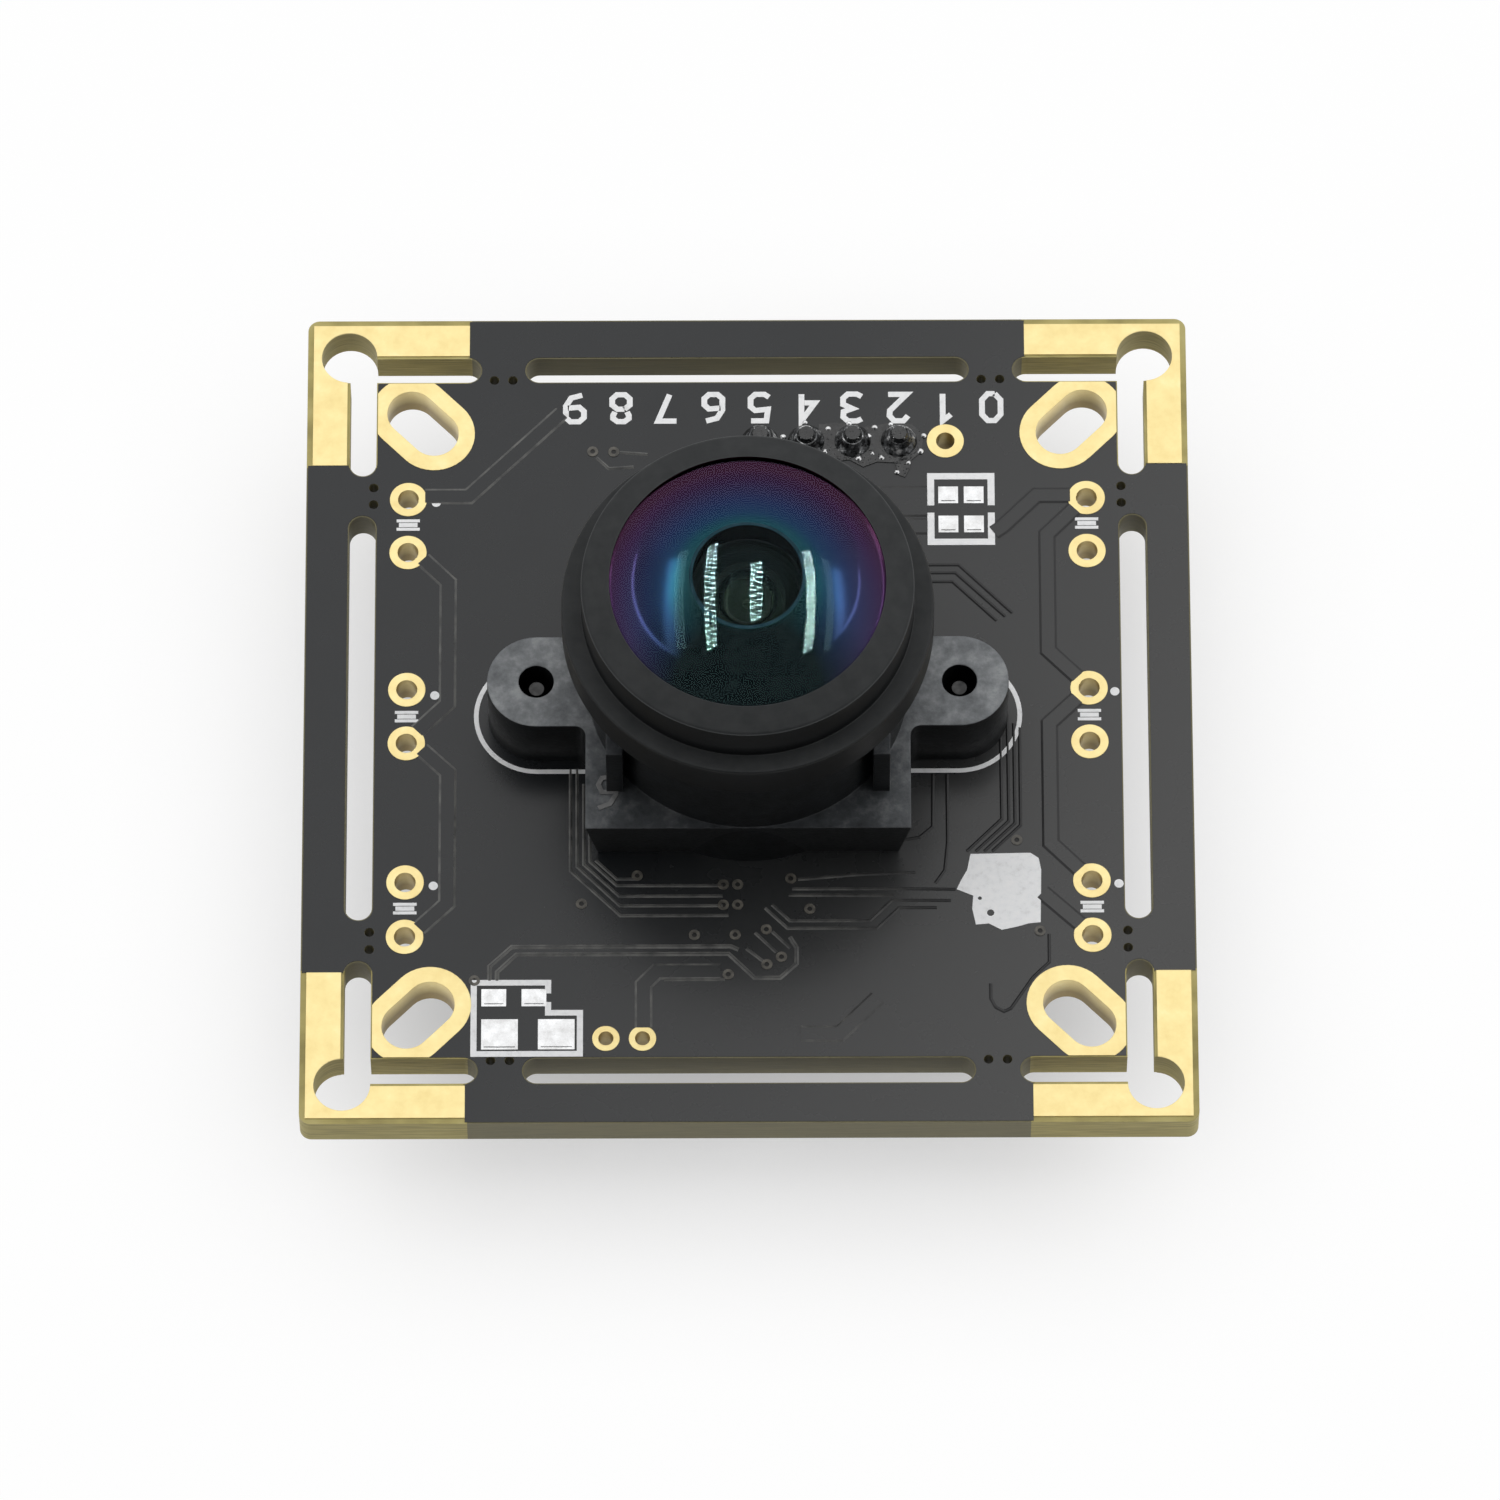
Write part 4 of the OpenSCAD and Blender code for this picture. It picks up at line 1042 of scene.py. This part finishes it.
class CAMERA_OT_glass(bpy.types.Operator):
    """Coated glass elements"""
    bl_idname = "camera_looks.glass"
    bl_label = "Lens elements"

    def execute(self, context):
        self.front_glass(heights(), context.scene.camera_looks_lens.front_radius / MM)
        inner = coated_glass("inner_coating", INNER_COAT, mirror=0.07)

        low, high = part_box("second_element")
        z0, z1, r = low[2] / MM, high[2] / MM, high[0] / MM
        open_r = math.sqrt(SECOND_HOLLOW_R ** 2 - SECOND_HOLLOW_SINK ** 2)
        hollow = bowl(SECOND_HOLLOW_R, z0 - SECOND_HOLLOW_SINK, open_r)
        bm = bmesh.new()
        spun(bm, bowl(SECOND_FRONT_R, z1 - SECOND_FRONT_R, r) + [(r, z0)] + hollow[::-1])
        piece("second_glass", bm, [inner], ["second_element"], smooth=40)

        low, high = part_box("third_element")
        z0, z1, r = low[2] / MM, high[2] / MM, high[0] / MM
        bm = bmesh.new()
        spun(bm, bowl(THIRD_FRONT_R, z1 - THIRD_FRONT_R, r) + [(r, z0), (0.0, z0)])
        piece("third_glass", bm, [inner], ["third_element"], smooth=40)
        for node in ("rear_element", "filter_glass", "sensor_cover"):
            dress(node, inner)
        dress("sensor_package", plain_plastic("sensor_ceramic", grey(0.05), grey(0.09)))
        dress("sensor_die", plain_metal("sensor_silicon", (0.10, 0.14, 0.16), (0.16, 0.22, 0.22), rough=0.2))
        return {"FINISHED"}

    def front_glass(self, h, radius):
        """The dome, hollow in the middle, with an inner face that runs beside it."""
        centre = h["glass_top"] - radius
        rim = h["glass_back"] + HOLLOW_RIM
        inside = bowl(HOLLOW_R, rim - math.sqrt(HOLLOW_R ** 2 - HOLLOW_OPEN ** 2), HOLLOW_OPEN)
        edge_r = HOLLOW_OPEN + HOLLOW_EDGE
        shell = []
        for i in range(33):
            reach = edge_r + (h["glass_r"] - edge_r) * i / 32
            drop = math.sqrt(radius ** 2 - edge_r ** 2) - math.sqrt(radius ** 2 - reach ** 2)
            shell.append((reach, rim - drop))
        step = h["head"] - 0.05
        outline = bowl(radius, centre, GLASS_OPEN_R) + [(GLASS_OPEN_R, step), (h["glass_r"], step)]
        bm = bmesh.new()
        spun(bm, outline + shell[::-1] + inside[::-1])
        for face in bm.faces:
            spot = face.calc_center_median()
            reach = math.hypot(spot.x, spot.y)
            depth = centre + math.sqrt(radius ** 2 - reach ** 2) - spot.z
            face.material_index = self.coat(reach, depth, h["glass_r"])
        coats = [coated_glass("front_coating", DOME_COAT, mirror=0.12),
                 coated_glass("hollow_coating", HOLLOW_COAT, mirror=0.02), glass_paint(), rim_material(),
                 inner_mirror()]
        piece("front_glass", bm, coats, ["front_element"], smooth=40)

    def coat(self, reach, depth, glass_r):
        """Which finish a face has: 0 dome, 1 hollow, 2 paint, 3 edge of the hollow, 4 inner face."""
        if reach > glass_r - 0.01 or reach > GLASS_OPEN_R and depth < 0.6:
            return 2
        if depth <= 0.3:
            return 0
        if reach < HOLLOW_OPEN:
            return 1
        return 3 if reach < HOLLOW_OPEN + HOLLOW_EDGE else 4


# ---------------------------------------------------------------- back

class CAMERA_OT_back(bpy.types.Operator):
    """Connector, chips and small parts on the back of the board"""
    bl_idname = "camera_looks.back"
    bl_label = "Back side parts"

    def execute(self, context):
        tin = plain_metal("tin_plate", grey(0.62), grey(0.78), rough=0.28)
        resin = plain_plastic("chip_resin", grey(0.022), grey(0.036), rough=0.5, edge=0.04)
        ivory = plain_plastic("ivory_nylon", (0.72, 0.69, 0.60), (0.82, 0.80, 0.72), rough=0.4)
        dress("wafer_housing", ivory)
        for node in ("controller_body", "memory_body", "regulator_bodies", "coil_body"):
            dress(node, resin)
        for node in ("controller_leads", "memory_leads", "regulator_leads", "coil_terminals",
                     "chip_terminals"):
            dress(node, tin)
        dress("crystal_can", plain_metal("crystal_can", (0.60, 0.58, 0.52), (0.74, 0.72, 0.66), rough=0.35))
        dress("capacitor_bodies", plain_plastic("chip_ceramic", (0.34, 0.24, 0.15), (0.46, 0.34, 0.22)))
        dress("resistor_bodies", plain_plastic("resistor_glaze", grey(0.02), grey(0.04), rough=0.25))
        return {"FINISHED"}


# ---------------------------------------------------------------- stage

CAMERA_DISTANCE = 587.0      # from the centre of the board's front face, in millimetres
CAMERA_ELEVATION = 64.7      # degrees above the board
CAMERA_ROLL = 0.17           # degrees
SENSOR_W = 36.0              # millimetres
FOCAL_SHARE = 9.152          # focal length over the sensor's width
AIM = (0.001333, 0.022667)   # how far the board's centre sits left of and above the middle, in widths
FLOOR_HALF = 3000.0
FLOOR_GAP = 0.05

# The light tent, in millimetres: low and high corner. Its front, on the camera's side, slopes out.
TENT_LOW = (-330.0, -150.0, -6.0)
TENT_HIGH = (400.0, 385.0, 500.0)
FRONT_REACH = 420.0
FRONT_FOOT = 60.0

# Rows of small lamps under the ceiling: place across, then from and to along the tent.
LAMP_ROWS = ((-146.0, -120.0, 378.0), (264.0, -125.0, 378.0), (33.0, -8.0, 250.0))
LAMP_ROW_STEP = 24.0
LAMP_ROW_OFFSET = 13.0
LAMP_HALF = (10, 5)

# Bright seams of the ceiling: from and to across, then along the tent.
TENT_SEAMS = ((-318.0, -264.0, -119.0, 377.0), (345.0, 392.0, -125.0, 350.0))


class CAMERA_OT_stage(bpy.types.Operator):
    """Camera, floor and light tent"""
    bl_idname = "camera_looks.stage"
    bl_label = "Stage"

    def execute(self, context):
        self.place_camera(context.scene)
        self.lay_floor()
        self.hang_tent()
        self.light_world(context.scene)
        context.scene.view_settings.view_transform = "Standard"
        return {"FINISHED"}

    def place_camera(self, scene):
        """A long lens that looks down on the board from its lower edge."""
        elevation, roll = math.radians(CAMERA_ELEVATION), math.radians(CAMERA_ROLL)
        right = Vector((1, 0, 0))
        ahead = Vector((0, math.cos(elevation), -math.sin(elevation)))
        up = right.cross(ahead)
        right, up = (math.cos(roll) * right - math.sin(roll) * up,
                     math.sin(roll) * right + math.cos(roll) * up)
        spot = Vector((0, 0, BOARD_TOP)) - CAMERA_DISTANCE * ahead
        spot += right * (AIM[0] / FOCAL_SHARE * CAMERA_DISTANCE)
        spot -= up * (AIM[1] / FOCAL_SHARE * CAMERA_DISTANCE)
        data = bpy.data.cameras.new("camera")
        data.sensor_width = SENSOR_W
        data.lens = SENSOR_W * FOCAL_SHARE
        data.clip_start = 0.01
        data.clip_end = 20.0
        eye = bpy.data.objects.new("camera", data)
        scene.collection.objects.link(eye)
        turn = Matrix((right, up, -ahead)).transposed()
        eye.matrix_world = Matrix.Translation(spot * MM) @ turn.to_4x4()
        scene.camera = eye

    def put(self, name, bm, material):
        """Adds a mesh of the stage."""
        bmesh.ops.scale(bm, verts=bm.verts, vec=(MM, MM, MM))
        mesh = bpy.data.meshes.new(name)
        bm.to_mesh(mesh)
        bm.free()
        thing = bpy.data.objects.new(name, mesh)
        bpy.context.scene.collection.objects.link(thing)
        mesh.materials.append(material)
        return thing

    def seen(self, n):
        """1 where the camera looks, straight or by way of metal and glass."""
        path = n.add("LightPath").outputs
        mirrored = n.math("MAXIMUM", path["Is Glossy Ray"], path["Is Transmission Ray"])
        return n.math("MAXIMUM", path["Is Camera Ray"], mirrored)

    def lay_floor(self):
        """A pale floor that keeps the part's shadow, with painted shadow added from ambient occlusion."""
        bm = bmesh.new()
        bmesh.ops.create_grid(bm, x_segments=2, y_segments=2, size=FLOOR_HALF)
        bmesh.ops.translate(bm, verts=bm.verts, vec=(0, 0, CAD_BOX[0][2] / MM - FLOOR_GAP))
        n = Nodes("floor_white")
        plain = n.add("BsdfDiffuse", {"Color": (0.92, 0.92, 0.92, 1.0)})
        white = n.add("Emission", {"Color": (1.0, 1.0, 1.0, 1.0), "Strength": 1.0})
        # Painted shadow: ambient occlusion dims the floor's white glow under and beside the part.
        near = n.add("AmbientOcclusion", {"Distance": 11 * MM}, samples=12).outputs["AO"]
        open_sky = n.math("ADD", n.math("MULTIPLY", near, 0.87), 0.10)
        share = n.math("MULTIPLY", self.seen(n), open_sky)
        n.finish(n.add("MixShader", {0: share, 1: plain.outputs[0], 2: white.outputs[0]}))
        self.put("floor", bm, n.material)

    def hang_tent(self):
        """Glowing ceiling and walls, rows of small lamps under the ceiling, and a dark front."""
        (x0, y0, z0), (x1, y1, z1) = TENT_LOW, TENT_HIGH
        foot_y, foot_z = y0 - FRONT_REACH, z0 + FRONT_FOOT
        for name, corners, strength, sharp in (
            ("tent_ceiling", [(x0, y0, z1), (x1, y0, z1), (x1, y1, z1), (x0, y1, z1)], 1.25, None),
            ("tent_back", [(x0, y1, z0), (x1, y1, z0), (x1, y1, z1), (x0, y1, z1)], 1.0, None),
            ("tent_left", [(x0, y0, z0), (x0, y1, z0), (x0, y1, z1), (x0, y0, z1)], 0.8, None),
            ("tent_right", [(x1, y0, z0), (x1, y1, z0), (x1, y1, z1), (x1, y0, z1)], 1.1, None),
            ("tent_front", [(x0, y0, z1), (x1, y0, z1), (x1, foot_y, foot_z), (x0, foot_y, foot_z)],
             0.10, 1.3),
        ):
            bm = bmesh.new()
            bm.faces.new([bm.verts.new(c) for c in corners])
            self.glow(name, bm, strength, sharp)
        bm = bmesh.new()
        for x, low, high in LAMP_ROWS:
            for i in range(round((high - low) / LAMP_ROW_STEP)):
                for side in (-1, 1):
                    y = low + (i + 0.25 * side) * LAMP_ROW_STEP
                    self.panel(bm, (x + side * LAMP_ROW_OFFSET, y), LAMP_HALF, z1 - 6.0)
        self.glow("tent_lamps", bm, 1.2, sharp=200.0, outside=True).visible_diffuse = False
        bm = bmesh.new()
        for ax, bx, ay, by in TENT_SEAMS:
            self.panel(bm, ((ax + bx) / 2, (ay + by) / 2), ((bx - ax) / 2, (by - ay) / 2), z1 - 8.0)
        self.glow("tent_seams", bm, 2.0, sharp=5.0)

    def panel(self, bm, centre, half, z):
        """A flat rectangle."""
        (x, y), (a, b) = centre, half
        bm.faces.new([bm.verts.new((x + u, y + v, z)) for u, v in ((-a, -b), (a, -b), (a, b), (-a, b))])

    def glow(self, name, bm, strength, sharp=None, outside=False):
        """A glowing surface. Polished glass may mirror it at another strength, if asked only outside."""
        n = Nodes(name)
        if sharp:
            path = n.add("LightPath").outputs
            polished = path["Is Singular Ray"]
            if outside:
                within = n.math("MINIMUM", path["Transmission Depth"], 1.0)
                polished = n.math("MULTIPLY", polished, n.math("SUBTRACT", 1.0, within))
            strength = n.spread(polished, strength, sharp)
        n.finish(n.add("Emission", {"Color": (1.0, 1.0, 1.0, 1.0), "Strength": strength}))
        thing = self.put(name, bm, n.material)
        thing.visible_camera = False
        return thing

    def light_world(self, scene):
        """An even white world, at half strength on the part."""
        scene.world = bpy.data.worlds.new("studio")
        n = Nodes("studio", scene.world)
        level = n.spread(self.seen(n), 0.5, 1.0)
        n.finish(n.add("Background", {"Color": (1.0, 1.0, 1.0, 1.0), "Strength": level}))


# ---------------------------------------------------------------- add-on

OPERATORS = (
    CAMERA_OT_stage, CAMERA_OT_board, CAMERA_OT_plating, CAMERA_OT_tracks, CAMERA_OT_legend,
    CAMERA_OT_solder, CAMERA_OT_holder, CAMERA_OT_barrel, CAMERA_OT_glass, CAMERA_OT_back,
)


class CAMERA_PT_looks(bpy.types.Panel):
    """Lists the settings and the pieces"""
    bl_idname = "CAMERA_PT_looks"
    bl_label = "Board camera"
    bl_space_type = "VIEW_3D"
    bl_region_type = "UI"
    bl_category = "Camera"

    def draw(self, context):
        for group in (context.scene.camera_looks_board, context.scene.camera_looks_lens):
            for name in group.__annotations__:
                self.layout.prop(group, name)
        for operator in OPERATORS:
            self.layout.operator(operator.bl_idname)


CLASSES = (CAMERA_PG_board, CAMERA_PG_lens, *OPERATORS, CAMERA_PT_looks)


def register():
    for cls in CLASSES:
        bpy.utils.register_class(cls)
    bpy.types.Scene.camera_looks_board = bpy.props.PointerProperty(type=CAMERA_PG_board)
    bpy.types.Scene.camera_looks_lens = bpy.props.PointerProperty(type=CAMERA_PG_lens)


def unregister():
    del bpy.types.Scene.camera_looks_lens
    del bpy.types.Scene.camera_looks_board
    for cls in reversed(CLASSES):
        bpy.utils.unregister_class(cls)


def main():
    register()
    for operator in OPERATORS:
        group, name = operator.bl_idname.split(".")
        getattr(getattr(bpy.ops, group), name)()
    bpy.context.view_layer.update()


if __name__ == "__main__":
    main()
